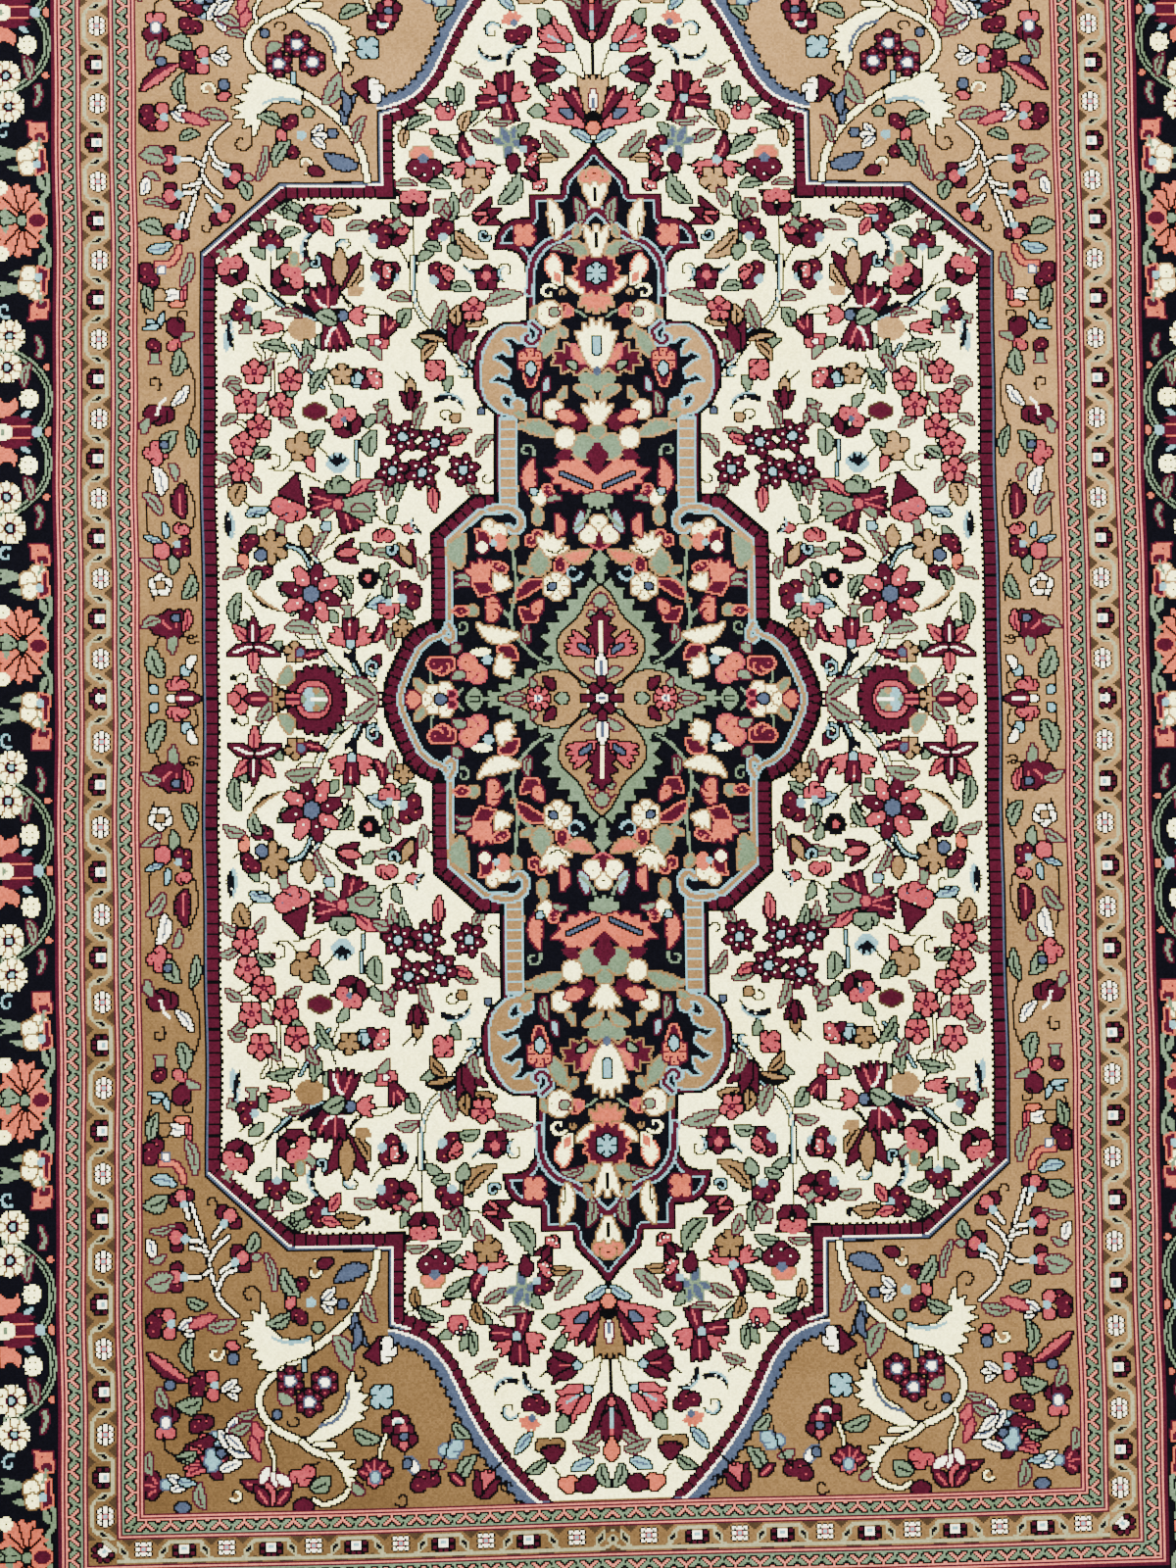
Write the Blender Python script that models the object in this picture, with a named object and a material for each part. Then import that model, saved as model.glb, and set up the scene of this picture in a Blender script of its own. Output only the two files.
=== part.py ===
"""Hand-knotted rug, laid out flat: the pile cloth, its overcast side cords and its fringed ends.

Metres, +Z up, +Y along the warps. The origin is the centre of the underside.
"""
import math

import bpy

# Knotted cloth
RUG_WIDTH = 1.400
PILE_LENGTH = 1.910
PILE_THICKNESS = 0.009
TOP_EDGE_ROUND = 0.0025
EDGE_ROUND_STEPS = 3
SEWN_GAP = 0.0003

# Overcast cord along each long side
SELVEDGE_WIDTH = 0.0062
SELVEDGE_HEIGHT = 0.0068
SELVEDGE_SIDES = 10

# Flat-woven end strip and the warp ends that leave it
END_STRIP_DEPTH = 0.012
END_STRIP_THICKNESS = 0.0025
STRANDS_PER_END = 120
STRAND_ROOT_WIDTH = 0.0046
STRAND_TIP_WIDTH = 0.0036
STRAND_LENGTH = 0.042
STRAND_LENGTH_SPREAD = 0.004
STRAND_LEAN = 0.0018

BODY_WIDTH = RUG_WIDTH - 2 * (SELVEDGE_WIDTH + SEWN_GAP)

# Colour, roughness
WOOL_CAMEL = ((0.48, 0.30, 0.16), 0.92)
WOOL_BURGUNDY = ((0.13, 0.02, 0.05), 0.90)
COTTON_NATURAL = ((0.80, 0.74, 0.60), 0.88)


def clear_scene():
    for item in list(bpy.data.objects):
        bpy.data.objects.remove(item, do_unlink=True)


def make_material(name, finish):
    colour, roughness = finish
    material = bpy.data.materials.new(name)
    material.use_nodes = True
    shader = material.node_tree.nodes["Principled BSDF"]
    shader.inputs["Base Color"].default_value = (*colour, 1.0)
    shader.inputs["Roughness"].default_value = roughness
    shader.inputs["Metallic"].default_value = 0.0
    material.diffuse_color = (*colour, 1.0)
    return material


def add_solid(name, points, faces, material):
    mesh = bpy.data.meshes.new(name)
    mesh.from_pydata(points, [], faces)
    mesh.materials.append(material)
    solid = bpy.data.objects.new(name, mesh)
    bpy.context.scene.collection.objects.link(solid)
    return solid


def rounded_edge_rings():
    """The slab's rings from the underside to the top face, as (inset from the edge, height)."""
    rings = [(0.0, 0.0)]
    for step in range(EDGE_ROUND_STEPS + 1):
        angle = 0.5 * math.pi * step / EDGE_ROUND_STEPS
        inset = TOP_EDGE_ROUND * (1.0 - math.cos(angle))
        height = PILE_THICKNESS - TOP_EDGE_ROUND * (1.0 - math.sin(angle))
        rings.append((inset, height))
    return rings


def add_pile_body():
    """One flat slab: square below, with the sheared pile rolling over at its top edges."""
    half_x = 0.5 * BODY_WIDTH
    half_y = 0.5 * PILE_LENGTH
    points = []
    faces = []
    rings = rounded_edge_rings()
    for inset, height in rings:
        x = half_x - inset
        y = half_y - inset
        points += [(-x, -y, height), (x, -y, height), (x, y, height), (-x, y, height)]
    for ring in range(len(rings) - 1):
        for side in range(4):
            low = 4 * ring + side
            low_next = 4 * ring + (side + 1) % 4
            faces.append((low, low_next, low_next + 4, low + 4))
    faces.append((3, 2, 1, 0))
    top = 4 * (len(rings) - 1)
    faces.append((top, top + 1, top + 2, top + 3))
    add_solid("pile_body", points, faces, make_material("wool_pile", WOOL_CAMEL))


def add_selvedge(name, side, material):
    """A side cord, oval in section with a flat spot below, sewn on beside the cloth's edge."""
    centre_x = side * 0.5 * (RUG_WIDTH - SELVEDGE_WIDTH)
    half_turn = math.pi / SELVEDGE_SIDES
    section = []
    for corner in range(SELVEDGE_SIDES):
        angle = 2 * half_turn * corner + half_turn - 0.5 * math.pi
        section.append((math.cos(angle), math.sin(angle)))
    reach_x = max(x for x, z in section)
    reach_z = max(z for x, z in section)
    points = []
    for end_y in (0.5 * PILE_LENGTH, -0.5 * PILE_LENGTH):
        for x, z in section:
            across = centre_x + 0.5 * SELVEDGE_WIDTH * x / reach_x
            height = 0.5 * SELVEDGE_HEIGHT * (1.0 + z / reach_z)
            points.append((across, end_y, height))
    near = list(range(SELVEDGE_SIDES, 2 * SELVEDGE_SIDES))
    far = list(range(SELVEDGE_SIDES))
    faces = [tuple(near), tuple(reversed(far))]
    for corner in range(SELVEDGE_SIDES):
        after = (corner + 1) % SELVEDGE_SIDES
        faces.append((near[after], near[corner], far[corner], far[after]))
    add_solid(name, points, faces, material)


def strand_shape(index):
    """Length and sideways lean of one warp bundle, a little uneven from one to the next."""
    unevenness = 0.6 * math.sin(2.3 * index) + 0.4 * math.sin(0.71 * index + 1.0)
    lean = STRAND_LEAN * (0.6 * math.sin(1.37 * index + 0.5) + 0.4 * math.sin(3.1 * index))
    return STRAND_LENGTH + STRAND_LENGTH_SPREAD * unevenness, lean


def add_fringe(name, end, material):
    """The end strip with its strands as one comb, level on the floor; end is +1 or -1 along Y."""
    inner_y = 0.5 * PILE_LENGTH + SEWN_GAP
    outer_y = inner_y + END_STRIP_DEPTH
    pitch = BODY_WIDTH / STRANDS_PER_END
    outline = []
    tips = []
    for index in range(STRANDS_PER_END):
        middle = -0.5 * BODY_WIDTH + pitch * (index + 0.5)
        outline.append(middle - 0.5 * STRAND_ROOT_WIDTH)
        outline.append(middle + 0.5 * STRAND_ROOT_WIDTH)
        length, lean = strand_shape(index if end > 0 else STRANDS_PER_END - 1 - index)
        tips.append((middle + end * lean, outer_y + length))
    columns = [-0.5 * BODY_WIDTH] + outline + [0.5 * BODY_WIDTH]
    plan = [(x, inner_y) for x in columns]
    plan += [(x, outer_y) for x in columns]
    for x, y in tips:
        plan.append((x - 0.5 * STRAND_TIP_WIDTH, y))
        plan.append((x + 0.5 * STRAND_TIP_WIDTH, y))

    count = len(columns)
    first_tip = 2 * count
    tiles = []
    rim = []
    for column in range(count - 1):
        tiles.append((column, column + 1, count + column + 1, count + column))
        rim.append((column, column + 1))
        is_root = column % 2 == 1
        if not is_root:
            rim.append((count + column + 1, count + column))
            continue
        left_tip = first_tip + column - 1
        right_tip = left_tip + 1
        tiles.append((count + column, count + column + 1, right_tip, left_tip))
        rim.append((count + column + 1, right_tip))
        rim.append((right_tip, left_tip))
        rim.append((left_tip, count + column))
    rim.append((count - 1, 2 * count - 1))
    rim.append((count, 0))

    level = len(plan)
    points = [(x, end * y, 0.0) for x, y in plan]
    points += [(x, end * y, END_STRIP_THICKNESS) for x, y in plan]
    faces = []
    for tile in tiles:
        faces.append(tuple(reversed(tile)))
        faces.append(tuple(corner + level for corner in tile))
    for start, stop in rim:
        faces.append((start, stop, stop + level, start + level))
    if end < 0:
        faces = [tuple(reversed(face)) for face in faces]
    add_solid(name, points, faces, material)


def main():
    clear_scene()
    add_pile_body()
    add_selvedge("selvedge_left", -1, make_material("overcast_left", WOOL_BURGUNDY))
    add_selvedge("selvedge_right", 1, make_material("overcast_right", WOOL_BURGUNDY))
    add_fringe("fringe_top", 1, make_material("warp_ends_top", COTTON_NATURAL))
    add_fringe("fringe_bottom", -1, make_material("warp_ends_bottom", COTTON_NATURAL))


main()
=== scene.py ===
import math
import bpy
import numpy as np
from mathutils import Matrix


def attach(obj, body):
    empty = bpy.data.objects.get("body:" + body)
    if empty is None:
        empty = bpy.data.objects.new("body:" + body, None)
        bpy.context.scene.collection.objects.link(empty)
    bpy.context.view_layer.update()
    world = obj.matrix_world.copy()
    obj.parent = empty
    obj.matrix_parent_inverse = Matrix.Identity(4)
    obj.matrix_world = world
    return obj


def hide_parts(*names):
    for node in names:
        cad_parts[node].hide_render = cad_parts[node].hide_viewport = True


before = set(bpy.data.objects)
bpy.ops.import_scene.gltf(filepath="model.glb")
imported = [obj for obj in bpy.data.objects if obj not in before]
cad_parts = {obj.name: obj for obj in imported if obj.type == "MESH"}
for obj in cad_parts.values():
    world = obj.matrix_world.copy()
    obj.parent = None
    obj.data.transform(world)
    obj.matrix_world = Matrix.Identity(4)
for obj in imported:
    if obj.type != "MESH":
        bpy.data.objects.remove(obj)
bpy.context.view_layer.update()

YARNS = ["cream", "gold", "burgundy", "navy", "black", "rose", "salmon", "sage", "sky", "slate", "white",
         "brown", "blush", "pale"]
CREAM, GOLD, BURGUNDY, NAVY, BLACK, ROSE, SALMON, SAGE, SKY, SLATE, WHITE, BROWN, BLUSH, PALE = range(14)
NONE = -1

# the drawing's units: its middle, a knot's width and height, and knots from the middle to the edges
MIDDLE_X, MIDDLE_Y = 611.0, 711.0
STEP_X, STEP_Y = 1.9025, 1.655
COLUMNS, ROWS = 401, 623


class Sheet:
    """A quarter or half of the drawing; columns run out from the middle line, rows run up."""

    def __init__(self, rows_up, rows_down, ground):
        self.low = -rows_down
        self.cells = np.full((rows_up + rows_down, COLUMNS), ground, np.int8)

    def column(self, x):
        return (MIDDLE_X - x) / STEP_X - 0.5

    def row(self, y):
        return (MIDDLE_Y - y) / STEP_Y - 0.5 - self.low

    def window(self, x0, x1, y0, y1):
        """The knots between two places each way, a little more than that, and where each lies."""
        rows, columns = self.cells.shape
        c0 = max(0, int(math.floor(self.column(x1))) - 2)
        c1 = min(columns, int(math.ceil(self.column(x0))) + 3)
        r0 = max(0, int(math.floor(self.row(y1))) - 2)
        r1 = min(rows, int(math.ceil(self.row(y0))) + 3)
        if c1 <= c0 or r1 <= r0:
            return None
        xs = MIDDLE_X - (np.arange(c0, c1) + 0.5) * STEP_X
        ys = MIDDLE_Y - (np.arange(r0, r1) + 0.5 + self.low) * STEP_Y
        px, py = np.meshgrid(xs, ys)
        return (slice(r0, r1), slice(c0, c1)), px, py

    def around(self, points, reach=0.0):
        """The window that holds points and reach beyond them."""
        x, y = points[:, 0], points[:, 1]
        return self.window(x.min() - reach, x.max() + reach, y.min() - reach, y.max() + reach)

    def paint(self, where, mask, yarn, edge=BLACK):
        """Gives the knots of mask their yarn, and the ones round it the edge's."""
        block = self.cells[where]
        if edge != NONE:
            block[grow(mask) & ~mask] = edge
        if yarn != NONE:
            block[mask] = yarn


def grow(mask):
    """The mask and every knot that touches it, corners too."""
    tall = mask.copy()
    tall[1:] |= mask[:-1]
    tall[:-1] |= mask[1:]
    out = tall.copy()
    out[:, 1:] |= tall[:, :-1]
    out[:, :-1] |= tall[:, 1:]
    return out


def inside(polygon, px, py):
    """Which of the places px, py lie in the polygon."""
    within = np.zeros(px.shape, bool)
    ends = np.roll(polygon, -1, axis=0)
    for (ax, ay), (bx, by) in zip(polygon, ends):
        if ay == by:
            continue
        crosses = (ay > py) != (by > py)
        within ^= crosses & (px < ax + (py - ay) * (bx - ax) / (by - ay))
    return within


def smooth(points, steps=6):
    """A soft curve through points."""
    points = np.asarray(points, float)
    ring = np.vstack([2 * points[0] - points[1], points, 2 * points[-1] - points[-2]])
    t = (np.arange(steps) / steps)[:, None]
    out = []
    for i in range(len(points) - 1):
        a, b, c, d = ring[i : i + 4]
        bend, twist = 2 * a - 5 * b + 4 * c - d, 3 * b - a - 3 * c + d
        out.append(0.5 * (2 * b + (c - a) * t + bend * t**2 + twist * t**3))
    out.append(points[-1:])
    return np.vstack(out)


def place(points, x, y, size, heading):
    """Points drawn facing up at unit size, moved to (x, y) and turned to heading."""
    points = np.asarray(points, float) * size
    turn = math.radians(heading)
    c, s = math.cos(turn), math.sin(turn)
    across, up = points[:, 0], points[:, 1]
    return np.column_stack([x + across * c + up * s, y + across * s - up * c])


def point(across, up, x, y, size, heading):
    """One such point."""
    return place([(across, up)], x, y, size, heading)[0]


def toward(x, y, heading, reach):
    """The point that lies at reach from (x, y) in the direction heading."""
    turn = math.radians(heading)
    return x + reach * math.sin(turn), y - reach * math.cos(turn)


def fill(sheet, polygon, yarn, edge=BLACK):
    polygon = np.asarray(polygon, float)
    found = sheet.around(polygon)
    if found is None:
        return
    where, px, py = found
    sheet.paint(where, inside(polygon, px, py), yarn, edge)


def stroke(sheet, points, width, yarn, edge=BLACK, taper=1.0):
    """A line of even or tapering width along points."""
    points = np.asarray(points, float)
    found = sheet.around(points, width)
    if found is None:
        return
    where, px, py = found
    mask = np.zeros(px.shape, bool)
    count = len(points) - 1
    for i in range(count):
        a, b = points[i], points[i + 1]
        d = b - a
        span = max(float(d @ d), 1e-9)
        t = np.clip(((px - a[0]) * d[0] + (py - a[1]) * d[1]) / span, 0, 1)
        near = np.hypot(px - a[0] - t * d[0], py - a[1] - t * d[1])
        along = (i + t) / count
        mask |= near <= 0.5 * width * (1 + (taper - 1) * along)
    sheet.paint(where, mask, yarn, edge)


def thread(sheet, points, yarn=BLACK, curve=True):
    """A line one knot wide."""
    points = smooth(points) if curve and len(points) > 2 else np.asarray(points, float)
    rows, columns = sheet.cells.shape
    for (ax, ay), (bx, by) in zip(points[:-1], points[1:]):
        steps = int(max(abs(bx - ax) / STEP_X, abs(by - ay) / STEP_Y) * 2) + 1
        t = np.arange(steps + 1) / steps
        c = np.round(sheet.column(ax + (bx - ax) * t)).astype(int)
        r = np.round(sheet.row(ay + (by - ay) * t)).astype(int)
        ok = (c >= 0) & (c < columns) & (r >= 0) & (r < rows)
        sheet.cells[r[ok], c[ok]] = yarn
        turn = np.flatnonzero(ok[1:] & ok[:-1] & (np.diff(c) != 0) & (np.diff(r) != 0))
        sheet.cells[r[turn], c[turn + 1]] = yarn


def disc(sheet, x, y, r, yarn, edge=BLACK, flat=1.0):
    """A round spot, or an oval one where flat isn't 1."""
    found = sheet.window(x - 1.6 * r, x + 1.6 * r, y - 1.6 * r, y + 1.6 * r)
    if found is None:
        return
    where, px, py = found
    sheet.paint(where, ((px - x) / r) ** 2 + ((py - y) / (r * flat)) ** 2 <= 1.0, yarn, edge)


def knot(sheet, x, y, yarn):
    """One single knot."""
    rows, columns = sheet.cells.shape
    c, r = int(round(sheet.column(x))), int(round(sheet.row(y)))
    if 0 <= c < columns and 0 <= r < rows:
        sheet.cells[r, c] = yarn


def polar(sheet, x, y, radius, yarn, edge=BLACK):
    """A shape whose edge is radius(angle), the angle clockwise from straight up."""
    angles = np.linspace(0, 2 * math.pi, 361)
    reach = float(np.max(radius(angles)))
    found = sheet.window(x - reach, x + reach, y - reach, y + reach)
    if found is None:
        return
    where, px, py = found
    angle = np.arctan2(px - x, y - py)
    sheet.paint(where, np.hypot(px - x, py - y) <= radius(angle), yarn, edge)


# Motifs. Each is drawn about (x, y), facing heading: 0 up, 90 right, 180 down, 270 left.


def rosette(sheet, x, y, r, petals, outer, core=NONE, edge=BLACK, turn=0.0, notch=0.25, dots=NONE):
    """Rounded petals with a cut between them; notch is the depth of the cuts."""
    shift = math.radians(turn)
    polar(sheet, x, y, lambda a: r * (1 - notch + notch * np.abs(np.cos(0.5 * petals * (a - shift)))),
          outer, edge)
    if notch:
        for i in range(petals):
            a = shift + math.pi * (2 * i + 1) / petals
            cut = [(x + reach * math.sin(a), y - reach * math.cos(a)) for reach in (0.45 * r, r)]
            thread(sheet, cut, edge if edge != NONE else outer, curve=False)
    if core != NONE:
        disc(sheet, x, y, 0.30 * r, core, NONE)
    if dots != NONE:
        for i in range(petals):
            a = shift + 2 * math.pi * i / petals
            knot(sheet, x + 0.72 * r * math.sin(a), y - 0.72 * r * math.cos(a), dots)


# the vein of a long leaf, by the leaf's own yarn and its edge
LEAF_VEINS = {(SAGE, BLACK): BLACK, (SAGE, BURGUNDY): BURGUNDY, (BURGUNDY, BLACK): ROSE,
              (ROSE, BLACK): BURGUNDY, (SKY, BLACK): SLATE, (WHITE, BLACK): SLATE, (GOLD, BLACK): BLACK}
# leaves that stand out against the ground are a little larger than drawn, and curved
LEAF_LONGER, LEAF_WIDER, LEAF_BEND = 1.12, 1.2, 0.13


def leaf(sheet, x, y, heading, length, width, yarn, bend=0.0, edge=BLACK, half=NONE, vein=NONE, teeth=0):
    """A pointed leaf about its middle; half recolours its right side, and teeth notch its edges."""
    if edge in (BLACK, BURGUNDY) and yarn in (SAGE, GOLD, SLATE) and width < 20:
        length, width = LEAF_LONGER * length, LEAF_WIDER * width
        if bend == 0 and length > 12:
            bend = LEAF_BEND * length * (1 if math.sin(math.radians(heading)) < 0 else -1)
    t = np.linspace(-0.5, 0.5, 15)
    swell = np.sin(math.pi * (t + 0.5)) ** 0.8 * (1 - 0.35 * t)
    if teeth or length > 26:
        swell = swell * (0.72 + 0.28 * (np.arange(15) % 2))
    spine = bend * (1 - 4 * t**2)
    right = np.column_stack([spine + 0.5 * width * swell, t * length])
    left = np.column_stack([spine - 0.5 * width * swell, t * length])
    middle = np.column_stack([spine, t * length])
    fill(sheet, place(np.vstack([right, left[::-1]]), x, y, 1, heading), yarn, edge)
    if half != NONE:
        fill(sheet, place(np.vstack([right, middle[::-1]]), x, y, 1, heading), half, NONE)
    if vein == NONE and half == NONE and length >= 18:
        vein = LEAF_VEINS.get((yarn, edge), NONE)
    if vein != NONE:
        thread(sheet, place(middle[2:-4], x, y, 1, heading), vein, curve=False)


def tab(sheet, x, y, heading, size):
    """The short open cup that a flower stands on."""
    shape = [(-0.32, -0.5), (0.32, -0.5), (0.26, 0.25), (0.5, 0.5), (-0.5, 0.5), (-0.26, 0.25)]
    fill(sheet, place(shape, x, y, size, heading), SAGE, BURGUNDY)


def trefoil(sheet, x, y, heading, size, yarn, dot=NONE, lobes=3, spread=55, edge=BLACK):
    """Round lobes side by side, each with a dot."""
    headings = [heading + spread * (i - 0.5 * (lobes - 1)) for i in range(lobes)]
    for h in headings:
        disc(sheet, *toward(x, y, h, 0.52 * size), 0.44 * size, yarn, edge)
    for h in headings:
        disc(sheet, *toward(x, y, h, 0.2 * size), 0.26 * size, yarn, NONE)
        if dot != NONE:
            knot(sheet, *toward(x, y, h, 0.58 * size), dot)


def tulip(sheet, x, y, heading, size, outer, inner):
    """Two curled outer petals round an inner bloom."""
    half = [(0.1, 0.62), (0.25, 0.9), (0.5, 0.55), (0.42, -0.1)]
    bloom = [(-a, b) for a, b in half[::-1]] + [(0, 1.0)] + half + [(0, -0.4)]
    fill(sheet, place(bloom, x, y, size, heading), inner)
    petal = [(0.05, -0.95), (0.45, -0.75), (0.78, -0.2), (0.72, 0.25), (1.0, 0.62), (0.62, 0.5),
             (0.40, 0.1), (0.2, -0.3)]
    for side in (-1, 1):
        fill(sheet, place([(side * a, b) for a, b in petal], x, y, size, heading), outer)


def lily(sheet, x, y, heading, size, outer, inner):
    """Three pointed petals, as of a lily seen from the side."""
    side_petal = [(0, -1.0), (0.5, -0.6), (0.75, 0.0), (1.0, 0.75), (0.45, 0.45), (0.2, 0.0)]
    middle = [(0, -0.9), (0.36, -0.1), (0.26, 0.5), (0, 1.05), (-0.26, 0.5), (-0.36, -0.1)]
    for side in (-1, 1):
        fill(sheet, place([(side * a, b) for a, b in side_petal], x, y, size, heading), outer)
    fill(sheet, place(middle, x, y, size, heading), inner)


def fan(sheet, x, y, heading, size, yarn, tips, spread, depth, edge=BLACK, rays=NONE, flat=1.0):
    """A jagged fan, such as a carnation's petal; large burgundy ones have a rose ray at every second tip."""
    ring = []
    for i in range(2 * tips + 1):
        a = math.radians(-0.5 * spread + spread * i / (2 * tips))
        r = 1.0 if i % 2 else 1.0 - depth
        ring.append((r * math.sin(a), flat * r * math.cos(a)))
    ring += [(0.12, -0.25), (-0.12, -0.25)]
    fill(sheet, place(ring, x, y, size, heading), yarn, edge)
    rayed = range(tips)
    if rays == NONE and yarn == BURGUNDY and size >= 18:
        rays, rayed = ROSE, range(1, tips, 2)
    if rays != NONE:
        for i in rayed:
            a = math.radians(-0.5 * spread + spread * (2 * i + 1) / (2 * tips))
            ray = [(reach * math.sin(a), reach * flat * math.cos(a)) for reach in (0.25, 0.8)]
            thread(sheet, place(ray, x, y, size, heading), rays, curve=False)


def bud(sheet, x, y, heading, size, yarn, base=NONE, edge=BLACK, dot=NONE):
    """A closed bud, pointed at both ends, with an optional cup at its base."""
    body = [(0, -0.8), (0.42, -0.45), (0.55, 0.05), (0.32, 0.55), (0, 1.0), (-0.32, 0.55), (-0.55, 0.05),
            (-0.42, -0.45)]
    fill(sheet, place(body, x, y, size, heading), yarn, edge)
    if base != NONE:
        cup = [(0, -0.9), (0.5, -0.5), (0.25, -0.1), (0, -0.4), (-0.25, -0.1), (-0.5, -0.5)]
        fill(sheet, place(cup, x, y, size, heading), base, edge)
    if dot != NONE:
        knot(sheet, x, y, dot)


CURL_SHRINK = 0.65


def curl(sheet, x, y, r, start, sweep, yarn=BLACK, width=0.0, edge=NONE):
    """A hook that winds inwards: from angle start through sweep degrees."""
    t = np.linspace(0, 1, 14)
    a = np.radians(start + sweep * t)
    radius = r * (1 - CURL_SHRINK * t)
    points = np.column_stack([x + radius * np.sin(a), y - radius * np.cos(a)])
    if width:
        stroke(sheet, points, width, yarn, edge, taper=0.6)
    else:
        thread(sheet, points, yarn, curve=False)


def feather(sheet, x, y, heading, length):
    """A loose dark brush stroke with a pale side and flecks."""
    t = np.linspace(-0.5, 0.5, 9)
    spine = np.column_stack([0.22 * length * (4 * t**2 - 0.5), t * length])
    shade = spine + np.array([-0.10 * length, -0.02 * length])
    stroke(sheet, place(shade[1:-1], x, y, 1, heading), 0.16 * length, SKY, NONE, taper=0.7)
    stroke(sheet, place(spine, x, y, 1, heading), 0.24 * length, NAVY, NONE, taper=0.35)
    for i in (3, 5):
        knot(sheet, *point(*spine[i], x, y, 1, heading), WHITE)


def halo(sheet, x, y, heading, length, width):
    """The pale shadow under a dark motif."""
    leaf(sheet, x, y, heading, length, width, SKY, edge=NONE)


def path_field(sheet, path, reach):
    """For every knot near path: where it lies, how far off the path it is, and how far along."""
    path = np.asarray(path, float)
    where, px, py = sheet.around(path, reach)
    best = np.full(px.shape, 1e9)
    along = np.zeros(px.shape)
    run = 0.0
    for a, b in zip(path[:-1], path[1:]):
        d = b - a
        length = max(float(np.hypot(*d)), 1e-9)
        t = np.clip(((px - a[0]) * d[0] + (py - a[1]) * d[1]) / length**2, 0, 1)
        off = np.hypot(px - a[0] - t * d[0], py - a[1] - t * d[1])
        closer = off < best
        best[closer] = off[closer]
        along[closer] = (run + t * length)[closer]
        run += length
    return where, px, py, best, along


# knots from the middle out to the inner guard, and the knots across each stripe of the borders
FIELD_COLUMNS, FIELD_ROWS = 247, 467
LINES, CHAIN, MEANDER, LAST_LINES = 3, 9, 15, 4
MEANDER_START = LINES + CHAIN + LINES
GUARD = MEANDER_START + MEANDER + LINES + CHAIN + LAST_LINES
MAIN = 61

# small repeats, knot by knot
CHAIN_CHART = ["p##pp##ss", "p#s#pp##s", "p#ss#pp#s", "p#sss#p#s", "p##sss##s", "pp##sssss", "pp##s##ss",
               "p##sss##s", "p#sss#p#s", "p#ss#pp#s", "p#s#pp##s", "p##pp##ss", "pppp##sss"]
CHAIN_REPEAT = len(CHAIN_CHART)
SIDE_ROSETTE = ["krww#", "r#w#.", "w##w#", "w#ww#", "w#w#.", "w##..", "#...."]
END_ROSETTE = ["krww#", "r#w#.", "w##w#", "w#ww#", "#.##."]
CHART_YARNS = {"s": SAGE, "p": BLUSH, "#": BLACK, "k": SKY, "r": ROSE, "w": WHITE, ".": NONE}

# knots from one open flower of the meander to the next, and where an end run's first ones stand
UP_PITCH, DOWN_PITCH, END_PITCH = 48.95, 49.5, 45.5
END_FIRST, END_BEFORE = 44.0, -6.0
FAR = 99.0
MEANDER_MIDDLE, MEANDER_SWING, MEANDER_EASE = 7.2, 5.6, 2.2
ROSETTE_DEPTH = 6.0
FLOWER_LOBES = [(4.4, 5.3), (4.5, 8.8), (1.8, 11.0)]


def chart(rows):
    """Yarns of a small repeat."""
    return np.array([[CHART_YARNS[mark] for mark in row] for row in rows], np.int8)


def nearest(along, spots):
    """Knots to the nearest of the spots."""
    return np.abs(along[:, None] - np.asarray(spots)[None, :]).min(axis=1)


def flower_spots(side_run, pitch, corner):
    """Knots along a run at which the open flowers stand; the last is on the corner."""
    inner = np.arange(0.0 if side_run else END_FIRST, corner - 0.7 * pitch, pitch)
    spots = np.append(np.floor(inner) + 0.5, corner)
    if side_run:
        spots[0] = 0.0
        return spots
    return np.append(END_BEFORE, spots)


def paint_meander_line(out, turn, b):
    """The pale line, swinging across where turn is 0, with its lozenge and the brown triangles."""
    run = turn / MEANDER_EASE
    slope = MEANDER_SWING / MEANDER_EASE / np.cosh(run) ** 2
    off = np.abs(b - MEANDER_MIDDLE - MEANDER_SWING * np.tanh(run)) / np.hypot(1, slope)
    out[off <= 0.9] = PALE
    lean = np.abs(turn - 0.4 * (b - MEANDER_MIDDLE))
    out[lean + 0.45 * np.abs(b - MEANDER_MIDDLE) <= 2.6] = PALE
    out[lean + 0.45 * np.abs(b - MEANDER_MIDDLE) <= 1.35] = NAVY
    out[(np.abs(turn + 3.2) <= b - 10.8) & (off > 0.9)] = BROWN
    out[(np.abs(turn - 3.2) <= 4.2 - b) & (off > 0.9)] = BROWN


def paint_open_flower(out, a, b):
    """Burgundy lobes in a C round a pale heart that opens towards the field."""
    out[(a <= 2.6) & (b >= 3.6) & (b <= 9.4)] = WHITE
    out[(a <= 1.2) & (b >= 4.6) & (b <= 7.4)] = SKY
    for yarn, size in ((BLACK, 2.35), (BURGUNDY, 1.25)):
        for lobe, depth in FLOWER_LOBES:
            out[np.hypot(a - lobe, b - depth) <= size] = yarn


def paint_rosette_chart(out, a, b, rows):
    """A charted rosette, a knots along and b deep, alike on all four sides of its middle."""
    marks = chart(rows)
    i, j = a.astype(int), np.abs(b - ROSETTE_DEPTH).astype(int)
    found = (i < marks.shape[0]) & (j < marks.shape[1])
    yarns = marks[i[found], j[found]]
    out[np.flatnonzero(found)[yarns != NONE]] = yarns[yarns != NONE]


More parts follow.
